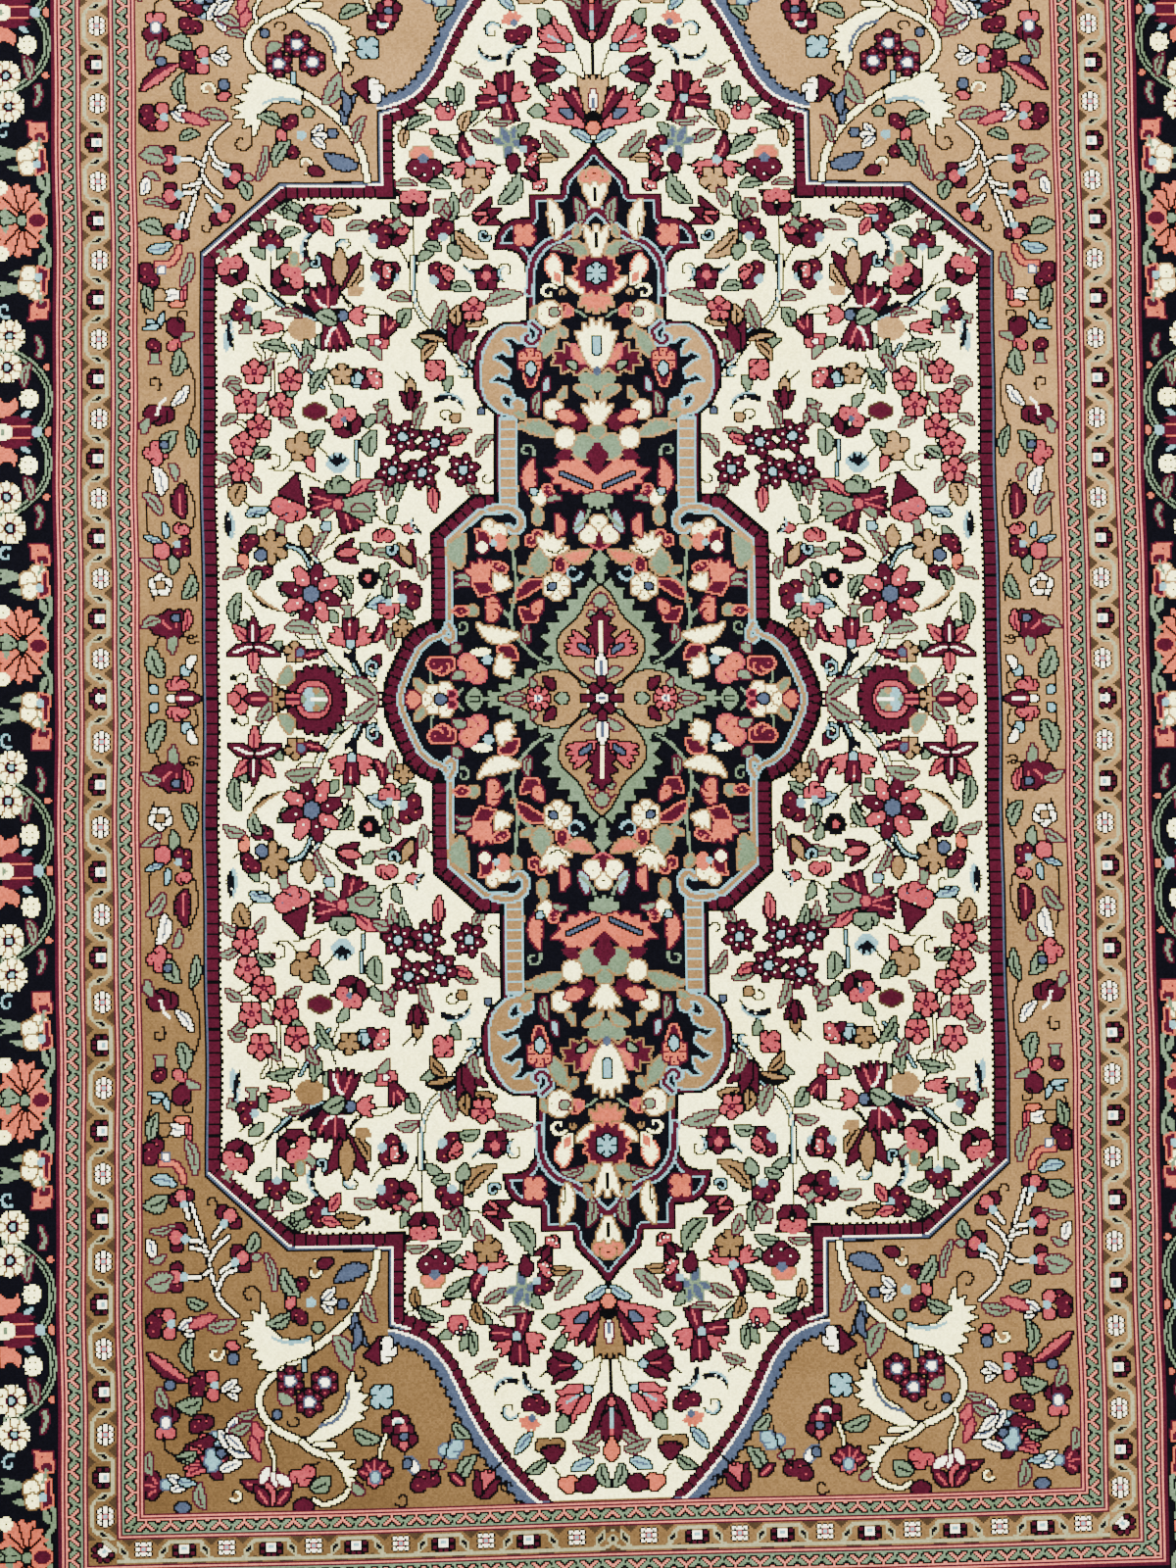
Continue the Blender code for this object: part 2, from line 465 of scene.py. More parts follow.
def meander_yarns(depth, cross, along, spots, side_run):
    """The rosette meander of one run; cross is the depth of the run that meets it at the corner."""
    b = depth - MEANDER_START + 0.5
    other = cross - MEANDER_START + 0.5
    places = along + 0.5
    halfway = np.round(0.5 * (spots[1:] + spots[:-1]))
    flower, star = nearest(places, spots), nearest(places, halfway)
    out = np.full(b.shape, GOLD, np.int8)
    paint_meander_line(out, 0.5 * (flower - star), b)
    if side_run:
        paint_open_flower(out, flower, b)
    else:
        paint_open_flower(out, np.where(places < 0.4 * END_FIRST + END_BEFORE, FAR, flower), b)
        paint_meander_line(out, np.where(places < 4, places, FAR), b)
    paint_rosette_chart(out, star, b, SIDE_ROSETTE if side_run else END_ROSETTE)
    corner = (other > 0) & (other < MEANDER)
    turned = np.full(b.shape, GOLD, np.int8)
    inward = MEANDER_MIDDLE + (b + other - MEANDER) / math.sqrt(2)
    sideways = np.abs(b - other) / math.sqrt(2)
    turned[np.abs(inward - 1.7) <= 1.0] = PALE
    paint_open_flower(turned, sideways, inward)
    out[corner] = turned[corner]
    return out


def guard_yarns(depth, cross, along, spots, side_run):
    """Yarns of one run of a guard, by depth from the field's side and the place along."""
    out = np.full(depth.shape, BURGUNDY, np.int8)
    second = MEANDER_START + MEANDER + LINES
    for start in (0, LINES + CHAIN, MEANDER_START + MEANDER, second + CHAIN):
        out[depth == start + 1] = BLUSH
    chain = chart(CHAIN_CHART)
    here = (depth >= LINES) & (depth < LINES + CHAIN)
    out[here] = chain[along[here] % CHAIN_REPEAT, depth[here] - LINES]
    here = (depth >= second) & (depth < second + CHAIN)
    out[here] = chain[along[here] % CHAIN_REPEAT, second + CHAIN - 1 - depth[here]]
    here = (depth >= MEANDER_START) & (depth < MEANDER_START + MEANDER)
    out[here] = meander_yarns(depth[here], cross[here], along[here], spots, side_run)
    return out


def paint_guards(half):
    """Both guards on the half sheet, mitred at the corners; the outer one is the inner one turned over."""
    rows, columns = half.cells.shape
    r, c = np.meshgrid(np.arange(rows) + half.low, np.arange(columns), indexing="ij")
    up = np.where(r >= 0, r, -1 - r)
    side, end = c - FIELD_COLUMNS, up - FIELD_ROWS
    middle = MEANDER_START + 0.5 * MEANDER
    flip = 2 * GUARD + MAIN - 1
    for turned in (False, True):
        corner = flip + 1 - middle if turned else middle
        near_side, near_end = (flip - side, flip - end) if turned else (side, end)
        beside = side >= end
        runs = ((beside & (r >= 0), UP_PITCH, True), (beside & (r < 0), DOWN_PITCH, True),
                (~beside, END_PITCH, False))
        for mine, pitch, side_run in runs:
            depth, cross = (near_side, near_end) if side_run else (near_end, near_side)
            along, last = (up, FIELD_ROWS + corner) if side_run else (c, FIELD_COLUMNS + corner)
            spots = flower_spots(side_run, pitch, last)
            cells = mine & (depth >= 0) & (depth < GUARD)
            half.cells[cells] = guard_yarns(depth[cells], cross[cells], along[cells], spots, side_run)
    half.cells[np.maximum(side, end) >= 2 * GUARD + MAIN] = BURGUNDY


# where the field's edge turns in, where its arc starts, and where the medallion's neck meets the octagon
NOTCH_X, NOTCH_Y, ARC_FOOT, NECK_FOOT = 388, 183, 108, 505
# steps, teeth, ticks and beads along the edges of field and medallion
SHOULDER_STEP, TOOTH_LONG, TOOTH_DEEP, TICK, BEAD_LONG = 5.5, 3.4, 1.9, 1.9, 9.5
FIELD_STEPS = [(203, 711), (203, 258), (287, 185), (388, 183), (388, 110)]
FIELD_ARC = [(388, 110), (401, 107), (425, 97), (444, 77), (456, 55), (470, 26), (486, 0), (504, -24),
             (520, -43), (538, -61)]


def paint_bands(block, where, off, bands):
    """Bands inside one another along an edge, the widest first."""
    for reach, yarn in bands:
        block[where & (off < reach)] = yarn


def paint_field(quarter):
    """The cream field, its brick band and the slate edge of the upper arcs."""
    curve = smooth(FIELD_ARC, 4)
    outline = FIELD_STEPS[:-1] + [tuple(p) for p in curve]
    closed = outline + [(760, -61), (760, 711)]
    fill(quarter, closed, CREAM, NONE)
    # slate shoulder outside the arcs, with a stepped dark edge
    where, px, py, off, along = path_field(quarter, curve, 26)
    outside = ~inside(np.asarray(closed, float), px, py) & (px > NOTCH_X + 1) & (py < ARC_FOOT)
    edge = 10.8 + 2.4 * (np.floor(along / SHOULDER_STEP) % 2)
    paint_bands(quarter.cells[where], outside, off, ((edge + 3.2, BLACK), (edge, SLATE), (2.4, WHITE)))
    # straight stretches: dark line, pale line, brick band with ticks, toothed dark edge
    where, px, py, off, along = path_field(quarter, outline, 24)
    within = inside(np.asarray(closed, float), px, py) & (px <= MIDDLE_X)
    from_notch = np.maximum(px - NOTCH_X, py - NOTCH_Y)
    off = np.where((px > NOTCH_X) & (py > NOTCH_Y) & (from_notch < 22), from_notch, off)
    block = quarter.cells[where]
    arc = within & (px > NOTCH_X + 4) & (py < ARC_FOOT)
    straight = within & ~arc
    tooth = TOOTH_DEEP * (np.floor(along / TOOTH_LONG) % 2)
    paint_bands(block, straight, off, ((17.5 + tooth, BLACK), (16.0, BURGUNDY)))
    paint_bands(block, straight & (along % 11.2 < TICK), off, ((16.0, BLACK),))
    paint_bands(block, straight, off, ((5.6, WHITE), (4.0, SLATE), (2.0, BLACK)))
    bead = 7.6 + 1.9 * np.abs(np.sin(along * math.pi / BEAD_LONG))
    paint_bands(block, arc, off, ((bead + 1.9, BLACK), (bead, BURGUNDY)))
    paint_bands(block, arc & (along % BEAD_LONG < 1.6), off, ((bead, BLACK),))


PENDANT = [(611, 147), (600, 162), (589, 173), (579, 184), (576, 199), (544, 199), (544, 223), (528, 224),
           (516, 230), (509, 241), (506, 255), (520, 254), (532, 259), (539, 270), (541, 290), (541, 329)]
SHOULDER = [(541, 329), (516, 331), (500, 340), (489, 356), (485, 376), (486, 396), (494, 411), (507, 422),
            (507, 428)]
PILLAR = [(507, 428), (507, 505)]
OCTAGON = [(507, 505), (484, 506), (439, 545), (439, 632), (427, 637), (412, 650), (399, 676), (391, 695),
           (388, 711)]


def paint_medallion(quarter):
    """The dark medallion and the bands that edge it."""
    outline = PENDANT + SHOULDER[1:] + PILLAR[1:] + OCTAGON[1:]
    closed = np.asarray(outline + [(760, 711), (760, 147)], float)
    fill(quarter, closed, NAVY, BLACK)
    # a thin band down to the octagon, and a brick band with ticks round it
    where, px, py, off, along = path_field(quarter, PENDANT + SHOULDER[1:] + PILLAR[1:], 26)
    near = inside(closed, px, py) & (px <= MIDDLE_X) & (py < NECK_FOOT + 3)
    paint_bands(quarter.cells[where], near, off, ((7.2, SKY), (5.4, BURGUNDY), (0.8, BLACK)))
    where, px, py, off, along = path_field(quarter, OCTAGON, 26)
    near = inside(closed, px, py) & (px <= MIDDLE_X) & (py > NECK_FOOT - 2)
    tooth = TOOTH_DEEP * (np.floor(along / TOOTH_LONG) % 2)
    block = quarter.cells[where]
    paint_bands(block, near, off, ((22.5, BLACK), (20.8, SKY), (19.2, GOLD), (15.2, SKY), (13.2, BURGUNDY)))
    paint_bands(block, near & (along % 10.5 < TICK), off, ((13.2, BLACK),))
    paint_bands(block, near, off, ((1.0 + tooth, BLACK),))
    paint_pillar(quarter)
    paint_arch(quarter)
    paint_shoulder(quarter)
    # curls that end the inner gold line
    stroke(quarter, smooth([(500, 520), (516, 518), (529, 524), (532, 536), (525, 542), (519, 538)], 5),
           5.2, GOLD, SKY, 0.8)
    stroke(quarter, smooth([(456, 636), (461, 645), (458, 652), (452, 650)], 5), 4.6, GOLD, SKY, 0.8)


def paint_pillar(quarter):
    """Ladder bars up the neck of the medallion."""
    left, right, top, bottom = 512.0, 527.0, 428.0, 518.0
    fill(quarter, [(left, top), (right, top), (right, bottom), (left, bottom)], GOLD, SKY)
    count = 9
    for i in range(count + 1):
        y = top + (bottom - top) * i / count
        thread(quarter, [(left, y), (right, y)], SKY, curve=False)
    thread(quarter, [(right + 2.5, top), (right + 2.5, bottom - 4)], BLACK, curve=False)


def paint_arch(quarter):
    """The inner ogee line under the pendant, with its thin red edge."""
    line = smooth([(611, 213), (604, 219), (592, 233), (577, 242), (560, 250), (549, 262), (544, 276),
                   (542, 300)], 5)
    stroke(quarter, line, 5.4, BURGUNDY, SKY)


def paint_shoulder(quarter):
    """Gold acanthus inside each shoulder: four hooked teeth on its inner side, a curl at each end."""
    outer = smooth([(541, 335), (519, 334), (505, 345), (496, 362), (493, 386), (497, 406), (511, 421),
                    (529, 424), (537, 417)], 5)
    curl_in = [(535, 410), (529, 408), (523, 412), (526, 417), (521, 419), (514, 415)]
    teeth = [(511, 406), (516, 402), (525, 407), (522, 398), (514, 393), (506, 392), (500, 391), (502, 387),
             (511, 382), (520, 387), (521, 378), (514, 372), (504, 367), (506, 363), (515, 359), (524, 365),
             (521, 353), (513, 348), (518, 345), (528, 346), (534, 352), (533, 343), (540, 342)]
    fill(quarter, np.vstack([outer, curl_in, teeth]), GOLD, SKY)
    stroke(quarter, smooth([(545, 331), (553, 338), (551, 348), (543, 352), (538, 347), (541, 343)], 5),
           4.2, BURGUNDY, SKY, 0.8)


def paint_field_flowers(s):
    """Flowering sprays of the cream field, one quarter."""
    # stems first
    for points in ([(611, 40), (611, 78)], [(593, 48), (599, 62), (602, 74)], [(452, 137), (456, 141)],
                   [(579, 70), (592, 74), (601, 82)],
                   [(404, 124), (430, 131), (460, 137), (490, 131), (510, 138)],
                   [(512, 102), (500, 118), (487, 128)], [(424, 218), (424, 260), (422, 306)],
                   [(452, 246), (432, 262), (425, 285)], [(407, 250), (418, 270), (421, 290)],
                   [(485, 219), (470, 222), (458, 232)], [(278, 262), (278, 290), (280, 300)],
                   [(245, 285), (262, 290), (278, 302), (300, 312)],
                   [(347, 288), (352, 305), (366, 318), (392, 322)], [(285, 372), (296, 366), (300, 352)],
                   [(340, 400), (332, 380), (336, 362)], [(363, 448), (365, 484)],
                   [(297, 480), (312, 484), (328, 492)], [(294, 553), (310, 562), (318, 580)],
                   [(344, 566), (330, 572), (320, 582)], [(304, 541), (318, 560)],
                   [(262, 676), (272, 692), (284, 702)], [(331, 668), (318, 664), (308, 664)],
                   [(358, 622), (352, 610), (344, 600)], [(376, 604), (368, 620), (358, 630)],
                   [(372, 692), (364, 676), (359, 668)], [(385, 480), (380, 500), (372, 512)],
                   [(420, 470), (400, 480), (385, 500)]):
        thread(s, points, BLACK)
    for points in ([(285, 350), (278, 372), (279, 396), (272, 424)], [(262, 352), (270, 366), (262, 380)],
                   [(244, 430), (262, 446), (258, 470)]):
        stroke(s, smooth(points), 2.6, CREAM, BLACK)
    for points in ([(356, 322), (372, 313), (390, 316), (404, 326)], [(346, 292), (352, 302), (362, 312)],
                   [(300, 318), (284, 312), (272, 316)], [(262, 280), (272, 296), (290, 306)],
                   [(416, 380), (424, 396), (420, 412)], [(322, 452), (336, 466), (340, 480)],
                   [(372, 448), (364, 466), (366, 484)], [(300, 468), (290, 480), (276, 478)],
                   [(250, 512), (262, 522), (276, 516)], [(232, 262), (226, 272), (232, 280)],
                   [(404, 470), (410, 484), (402, 498)], [(440, 560), (430, 572), (436, 584)]):
        thread(s, points, BLACK)
    for points, width in (([(423, 262), (424, 300), (432, 322), (454, 346), (482, 384)], 3.6),
                          ([(318, 566), (320, 600), (318, 636), (328, 662), (346, 684), (384, 708)], 5.2),
                          ([(318, 566), (332, 586), (344, 592), (356, 588)], 2.6),
                          ([(262, 678), (274, 696), (290, 706)], 3.0)):
        stroke(s, smooth(points), width, CREAM, BLACK)
        stroke(s, smooth(points), 0.4 * width, SKY, NONE)
    for points in ([(276, 300), (292, 314), (322, 326)], [(300, 352), (312, 372), (330, 396)],
                   [(290, 556), (306, 562), (316, 580)], [(356, 668), (366, 690), (380, 704)],
                   [(365, 450), (366, 486)], [(444, 330), (470, 352), (492, 392)]):
        stroke(s, smooth(points), 1.8, SKY, BLACK)
    for x, y, h in ((300, 400, 30), (330, 348, 200), (404, 214, 340), (436, 262, 60), (262, 232, 300),
                    (318, 300, 220), (372, 352, 120), (392, 416, 200), (344, 410, 320), (380, 430, 40),
                    (336, 628, 320), (300, 620, 210), (286, 600, 330), (340, 686, 60), (402, 524, 20),
                    (392, 582, 200), (464, 172, 40), (446, 104, 300), (540, 132, 30), (560, 92, 320),
                    (258, 545, 20), (246, 640, 200), (372, 560, 140), (430, 352, 300), (460, 392, 200),
                    (282, 660, 30), (318, 450, 20), (488, 118, 40)):
        leaf(s, x, y, h, 15, 7, SAGE)
    for points in ([(300, 330), (288, 344), (280, 352)], [(240, 300), (250, 306), (262, 304)],
                   [(372, 250), (380, 262), (392, 262)], [(404, 380), (414, 388), (420, 396)],
                   [(352, 536), (344, 548), (330, 560)], [(248, 612), (258, 626), (258, 640)],
                   [(296, 640), (304, 650), (316, 650)], [(380, 520), (392, 532), (410, 536)],
                   [(500, 160), (512, 168), (524, 166)], [(470, 60), (482, 66), (492, 60)],
                   [(540, 60), (548, 66), (560, 68)], [(236, 560), (246, 566), (254, 562)]):
        thread(s, points)
    # middle line, at the field's end
    lily(s, 611, 16, 0, 26, BURGUNDY, BURGUNDY)
    leaf(s, 611, 8, 0, 36, 26, BURGUNDY, edge=BLACK)
    thread(s, [(611, 8), (611, 30)], SKY)
    bud(s, 611, 33, 180, 6, ROSE)
    tulip(s, 573, 36, 300, 19, ROSE, ROSE)
    thread(s, [(566, 34), (577, 40)], SKY)
    disc(s, 588, 46, 3.6, SKY)
    tulip(s, 563, 69, 270, 17, BURGUNDY, BURGUNDY)
    thread(s, [(560, 69), (572, 69)], ROSE)
    disc(s, 578, 69, 4.2, SKY)
    fan(s, 600, 122, 300, 42, ROSE, tips=5, spread=62, depth=0.22)
    leaf(s, 583, 116, 300, 16, 7, SLATE)
    fan(s, 606, 118, 330, 36, BURGUNDY, tips=3, spread=44, depth=0.2)
    fan(s, 611, 116, 0, 42, GOLD, tips=5, spread=50, depth=0.16)
    leaf(s, 611, 101, 0, 26, 8, WHITE, edge=BURGUNDY)
    leaf(s, 611, 104, 0, 14, 4, SLATE, edge=NONE)
    disc(s, 611, 118, 7, BLACK, NONE)
    disc(s, 611, 130, 7, SALMON)
    leaf(s, 598, 139, 300, 24, 8, SKY, bend=2)
    leaf(s, 553, 114, 280, 15, 11, SAGE)
    leaf(s, 572, 147, 135, 34, 12, SAGE, bend=3, edge=BURGUNDY, teeth=1)
    # upper sprays
    carnation(s, 520, 97, 0, 25)
    fan(s, 516, 101, 265, 27, BURGUNDY, tips=3, spread=40, depth=0.25)
    fan(s, 520, 101, 160, 25, BURGUNDY, tips=3, spread=46, depth=0.25)
    disc(s, 518, 99, 4.2, SKY, NONE)
    twoleaf(s, 486, 74, 290, 20, 7)
    feather(s, 503, 52, 300, 26)
    feather(s, 532, 52, 50, 26)
    trefoil(s, 534, 28, 165, 15, BURGUNDY, dot=ROSE, spread=62)
    fan(s, 530, 20, 345, 13, SALMON, tips=5, spread=150, depth=0.12, edge=NONE)
    disc(s, 531, 20, 4, SLATE, NONE)
    curl(s, 508, 28, 11, 75, -330, BLACK)
    curl(s, 508, 28, 9, 60, -200, SKY)
    leaf(s, 560, 14, 340, 16, 10, SAGE)
    # slate star flower
    for h in (20, 95, 190, 280, 330):
        leaf(s, *toward(525, 145, h, 9), h, 20, 7, SLATE, edge=SAGE)
    bean(s, 543, 150, 70, 13, leaves=False, cup=False)
    trefoil(s, 545, 162, 120, 10, ROSE, dot=WHITE)
    bud(s, 528, 165, 190, 12, BURGUNDY)
    leaf(s, 563, 163, 90, 18, 7, GOLD)
    lily(s, 548, 178, 330, 9, BURGUNDY, BURGUNDY)
    trefoil(s, 554, 186, 160, 9, ROSE, dot=WHITE)
    leaf(s, 523, 192, 35, 34, 15, SAGE, bend=6, teeth=1)
    # lily with a gold foot
    leaf(s, 481, 150, 340, 28, 14, BURGUNDY, bend=-3, teeth=1)
    fan(s, 485, 166, 245, 24, ROSE, tips=3, spread=52, depth=0.3)
    fan(s, 487, 166, 115, 24, ROSE, tips=3, spread=52, depth=0.3)
    rosette(s, 489, 183, 14, 5, GOLD, notch=0.35, turn=36)
    disc(s, 485, 163, 4.5, SKY, NONE)
    twoleaf(s, 482, 202, 200, 18, 9)
    twoleaf(s, 496, 140, 120, 20, 8)
    # trefoil with a rosy cap
    fan(s, 434, 160, 0, 13, SALMON, tips=5, spread=160, depth=0.12, edge=GOLD)
    trefoil(s, 437, 166, 180, 19, BURGUNDY, dot=WHITE, spread=68)
    disc(s, 436, 160, 5, SLATE, NONE)
    leaf(s, 458, 148, 125, 26, 12, SAGE, bend=-3, teeth=1)
    leaf(s, 418, 138, 190, 20, 7, GOLD, bend=2)
    leaf(s, 432, 124, 65, 24, 9, SAGE, edge=BLACK)
    bud(s, 446, 133, 80, 5, ROSE)
    twoleaf(s, 417, 188, 270, 20, 6)
    leaf(s, 451, 189, 100, 20, 8, SAGE, bend=-3)
    # bug flower
    leaf(s, 470, 94, 10, 24, 9, SAGE, bend=4)
    leaf(s, 463, 95, 340, 16, 6, SAGE)
    disc(s, 459, 112, 9, ROSE, BURGUNDY)
    for a, b in ((458, 104), (465, 104), (462, 110), (469, 108)):
        disc(s, a, b, 3.4, NAVY, NONE)
        knot(s, a, b, WHITE)
    leaf(s, 481, 122, 20, 20, 9, GOLD)
    twoleaf(s, 514, 120, 280, 24, 6, bend=-4)
    # right-hand tulip and leaves
    lily(s, 499, 219, 70, 15, BURGUNDY, BURGUNDY)
    tulip(s, 493, 222, 250, 8, ROSE, BURGUNDY)
    leaf(s, 461, 212, 15, 30, 10, SAGE, bend=4)
    twoleaf(s, 452, 213, 330, 20, 8)
    # candelabra spray
    posy(s, 425, 206, 0, 15, tail=False)
    bean(s, 452, 237, 340, 15, cup=False)
    posy(s, 404, 236, 20, 14, tail=False)
    bean(s, 449, 283, 60, 16, cup=False, leaves=False)
    trefoil(s, 455, 280, 60, 10, ROSE, dot=BURGUNDY)
    bean(s, 400, 281, 300, 15, cup=False, leaves=False)
    leaf(s, 483, 250, 130, 38, 14, GOLD, bend=5, teeth=1)
    leaf(s, 464, 258, 150, 16, 10, SAGE)
    leaf(s, 472, 295, 100, 18, 9, SAGE)
    feather(s, 484, 274, 285, 22)
    rosette(s, 499, 284, 13, 5, BURGUNDY, notch=0.3)
    disc(s, 498, 282, 4.5, ROSE, NONE)
    curl(s, 518, 277, 11, 190, 320, BLACK)
    curl(s, 518, 277, 9, 200, 150, SKY)
    leaf(s, 516, 306, 75, 34, 13, SAGE, edge=BURGUNDY, teeth=1, bend=-3)
    twoleaf(s, 449, 322, 20, 30, 12, bend=3)
    leaf(s, 469, 322, 0, 18, 9, GOLD)
    leaf(s, 489, 331, 80, 20, 9, GOLD)
    pinks(s, 485, 316, 12)
    lily(s, 470, 345, 20, 17, BURGUNDY, BURGUNDY)
    twoleaf(s, 479, 358, 15, 22, 8)
    leaf(s, 416, 324, 20, 18, 11, SAGE)
    twoleaf(s, 409, 305, 280, 20, 8)
    leaf(s, 442, 346, 280, 26, 9, GOLD, half=BLACK)
    leaf(s, 440, 360, 220, 22, 8, GOLD)
    trefoil(s, 446, 378, 180, 12, ROSE, dot=BURGUNDY, lobes=4, spread=90)
    disc(s, 446, 378, 4, ROSE, NONE)
    curl(s, 472, 382, 9, 330, 250, BLACK)
    curl(s, 472, 382, 7, 330, 200, SKY)
    feather(s, 462, 410, 110, 30)
    bud(s, 420, 396, 0, 10, GOLD)
    lily(s, 420, 408, 0, 11, BURGUNDY, BURGUNDY)
    # upper left
    leaf(s, 298, 219, 290, 30, 16, SAGE, bend=5)
    curl(s, 293, 214, 6, 90, -300, BLACK)
    leaf(s, 350, 217, 85, 26, 12, GOLD, teeth=1)
    trefoil(s, 366, 213, 80, 6, NAVY, edge=NONE)
    bean(s, 321, 222, 270, 15, leaves=False, cup=False)
    leaf(s, 331, 213, 75, 20, 9, ROSE)
    leaf(s, 335, 231, 150, 20, 10, ROSE)
    feather(s, 316, 250, 15, 30)
    bean(s, 277, 248, 0, 14)
    leaf(s, 297, 238, 70, 18, 8, SAGE)
    posy(s, 238, 276, 330, 15)
    posy(s, 295, 285, 50, 16)
    leaf(s, 301, 264, 0, 16, 9, SAGE, edge=GOLD)
    curl(s, 353, 250, 11, 200, 300, BLACK)
    curl(s, 353, 250, 9, 200, 200, SKY)
    lily(s, 348, 274, 0, 22, BURGUNDY, GOLD)
    leaf(s, 363, 280, 30, 24, 8, GOLD, bend=4)
    twoleaf(s, 367, 232, 80, 22, 8)
    bean(s, 387, 240, 60, 16, leaves=False)
    bean(s, 389, 281, 70, 16, leaves=False, cup=False)
    trefoil(s, 394, 277, 90, 9, ROSE, dot=WHITE)
    leaf(s, 364, 297, 70, 14, 8, GOLD, edge=GOLD)
    # great palmette
    stroke(s, smooth([(352, 318), (328, 318), (310, 316), (303, 312)]), 9, NAVY, NONE)
    fan(s, 285, 334, 270, 20, ROSE, tips=3, spread=70, depth=0.45)
    fan(s, 335, 322, 345, 34, BURGUNDY, tips=5, spread=84, depth=0.25)
    fan(s, 340, 326, 170, 34, BURGUNDY, tips=5, spread=70, depth=0.25)
    thread(s, [(324, 306), (334, 314), (346, 312)], WHITE)
    thread(s, [(334, 352), (338, 340), (344, 332)], WHITE)
    fan(s, 360, 322, 90, 17, ROSE, tips=3, spread=110, depth=0.4)
    disc(s, 310, 336, 12.5, GOLD, GOLD, flat=0.85)
    leaf(s, 334, 326, 290, 22, 13, SAGE, edge=BLACK)
    disc(s, 352, 322, 5, SLATE, BLACK)
    twoleaf(s, 296, 322, 275, 24, 6)
    bean(s, 250, 318, 250, 14)
    tab(s, 252, 334, 180, 11)
    halo(s, 234, 343, 10, 34, 12)
    leaf(s, 237, 342, 350, 34, 7, NAVY, bend=-2, edge=NONE)
    knot(s, 237, 338, WHITE)
    leaf(s, 281, 356, 280, 26, 10, SAGE)
    leaf(s, 312, 360, 0, 24, 11, SAGE, bend=4)
    leaf(s, 327, 389, 35, 26, 10, SAGE, edge=BLACK)
    rosette(s, 350, 382, 11, 5, GOLD, notch=0.4)
    fan(s, 372, 392, 0, 17, BURGUNDY, tips=5, spread=140, depth=0.35)
    trefoil(s, 380, 388, 60, 12, ROSE, dot=WHITE)
    trefoil(s, 368, 389, 290, 9, SKY)
    fill(s, [(377, 342), (399, 342), (396, 356), (381, 356)], ROSE, BLACK)
    disc(s, 387, 349, 2.6, WHITE, BURGUNDY)
    fan(s, 395, 340, 20, 19, BURGUNDY, tips=5, spread=90, depth=0.35)
    # rose hyacinth
    for a, b, h in ((237, 392, 250), (276, 375, 20), (235, 430, 235), (294, 432, 120), (230, 470, 290),
                    (268, 466, 100), (232, 492, 240), (260, 495, 140), (313, 372, 30), (240, 400, 300)):
        twoleaf(s, a, b, h, 17, 7)
    leaf(s, 268, 463, 60, 18, 8, SAGE)
    for a, b in ((260, 380), (297, 388), (252, 411), (287, 414), (265, 436), (249, 454), (247, 480)):
        pinks(s, a, b)
    leaf(s, 245, 505, 200, 22, 16, GOLD, teeth=1)
    curl(s, 281, 472, 10, 280, 300, BLACK)
    # middle left
    fan(s, 322, 424, 0, 13, BURGUNDY, tips=3, spread=170, depth=0.12, edge=BROWN)
    posy(s, 354, 431, 330, 15, tail=False)
    disc(s, 352, 428, 3.2, SLATE, NONE)
    trefoil(s, 307, 456, 330, 15, GOLD, lobes=4, spread=90)
    disc(s, 307, 456, 4, GOLD, NONE)
    leaf(s, 325, 448, 40, 18, 9, SAGE)
    bud(s, 318, 472, 160, 9, ROSE)
    leaf(s, 381, 452, 10, 24, 14, SAGE, teeth=1)
    halo(s, 346, 472, 80, 26, 22)
    for h in (-50, -15, 20, 55):
        leaf(s, *toward(345, 474, h, 6), h, 18, 4, NAVY, edge=NONE)
    trefoil(s, 296, 514, 195, 20, ROSE, dot=SLATE, spread=62)
    fill(s, [(285, 503), (304, 484), (311, 514)], BURGUNDY, BLACK)
    tab(s, 286, 537, 190, 12)
    # compound flower
    fan(s, 345, 512, 270, 31, BURGUNDY, tips=5, spread=72, depth=0.25)
    fan(s, 350, 514, 150, 32, BURGUNDY, tips=5, spread=72, depth=0.25)
    leaf(s, 366, 499, 50, 32, 15, ROSE, teeth=1)
    trefoil(s, 346, 500, 0, 14, SAGE, spread=62)
    fan(s, 355, 515, 95, 30, SAGE, tips=5, spread=72, depth=0.15)
    twoleaf(s, 368, 520, 95, 16, 6)
    disc(s, 345, 514, 5, ROSE, BURGUNDY)
    disc(s, 333, 537, 5, SKY, BLACK)
    twoleaf(s, 387, 497, 80, 20, 8)
    leaf(s, 263, 522, 75, 24, 10, SKY)
    curl(s, 266, 532, 9, 300, 280, BLACK)
    halo(s, 235, 536, 0, 30, 12)
    leaf(s, 232, 534, 0, 28, 10, NAVY, edge=NONE)
    knot(s, 233, 530, WHITE)
    # gold and burgundy
    rosette(s, 276, 558, 17, 6, GOLD, notch=0.45)
    trefoil(s, 256, 557, 320, 13, BURGUNDY, dot=ROSE)
    trefoil(s, 252, 573, 270, 12, SALMON, lobes=2)
    trefoil(s, 266, 579, 180, 12, BURGUNDY, dot=ROSE)
    disc(s, 265, 566, 5.5, SLATE, BLACK)
    leaf(s, 260, 592, 200, 20, 9, SAGE)
    twoleaf(s, 237, 586, 250, 20, 8)
    bud(s, 312, 548, 0, 13, GOLD)
    twoleaf(s, 327, 554, 30, 24, 8)
    lily(s, 353, 563, 80, 13, BURGUNDY, ROSE)
    twoleaf(s, 391, 566, 280, 22, 8)
    trefoil(s, 391, 550, 0, 12, ROSE, dot=BURGUNDY)
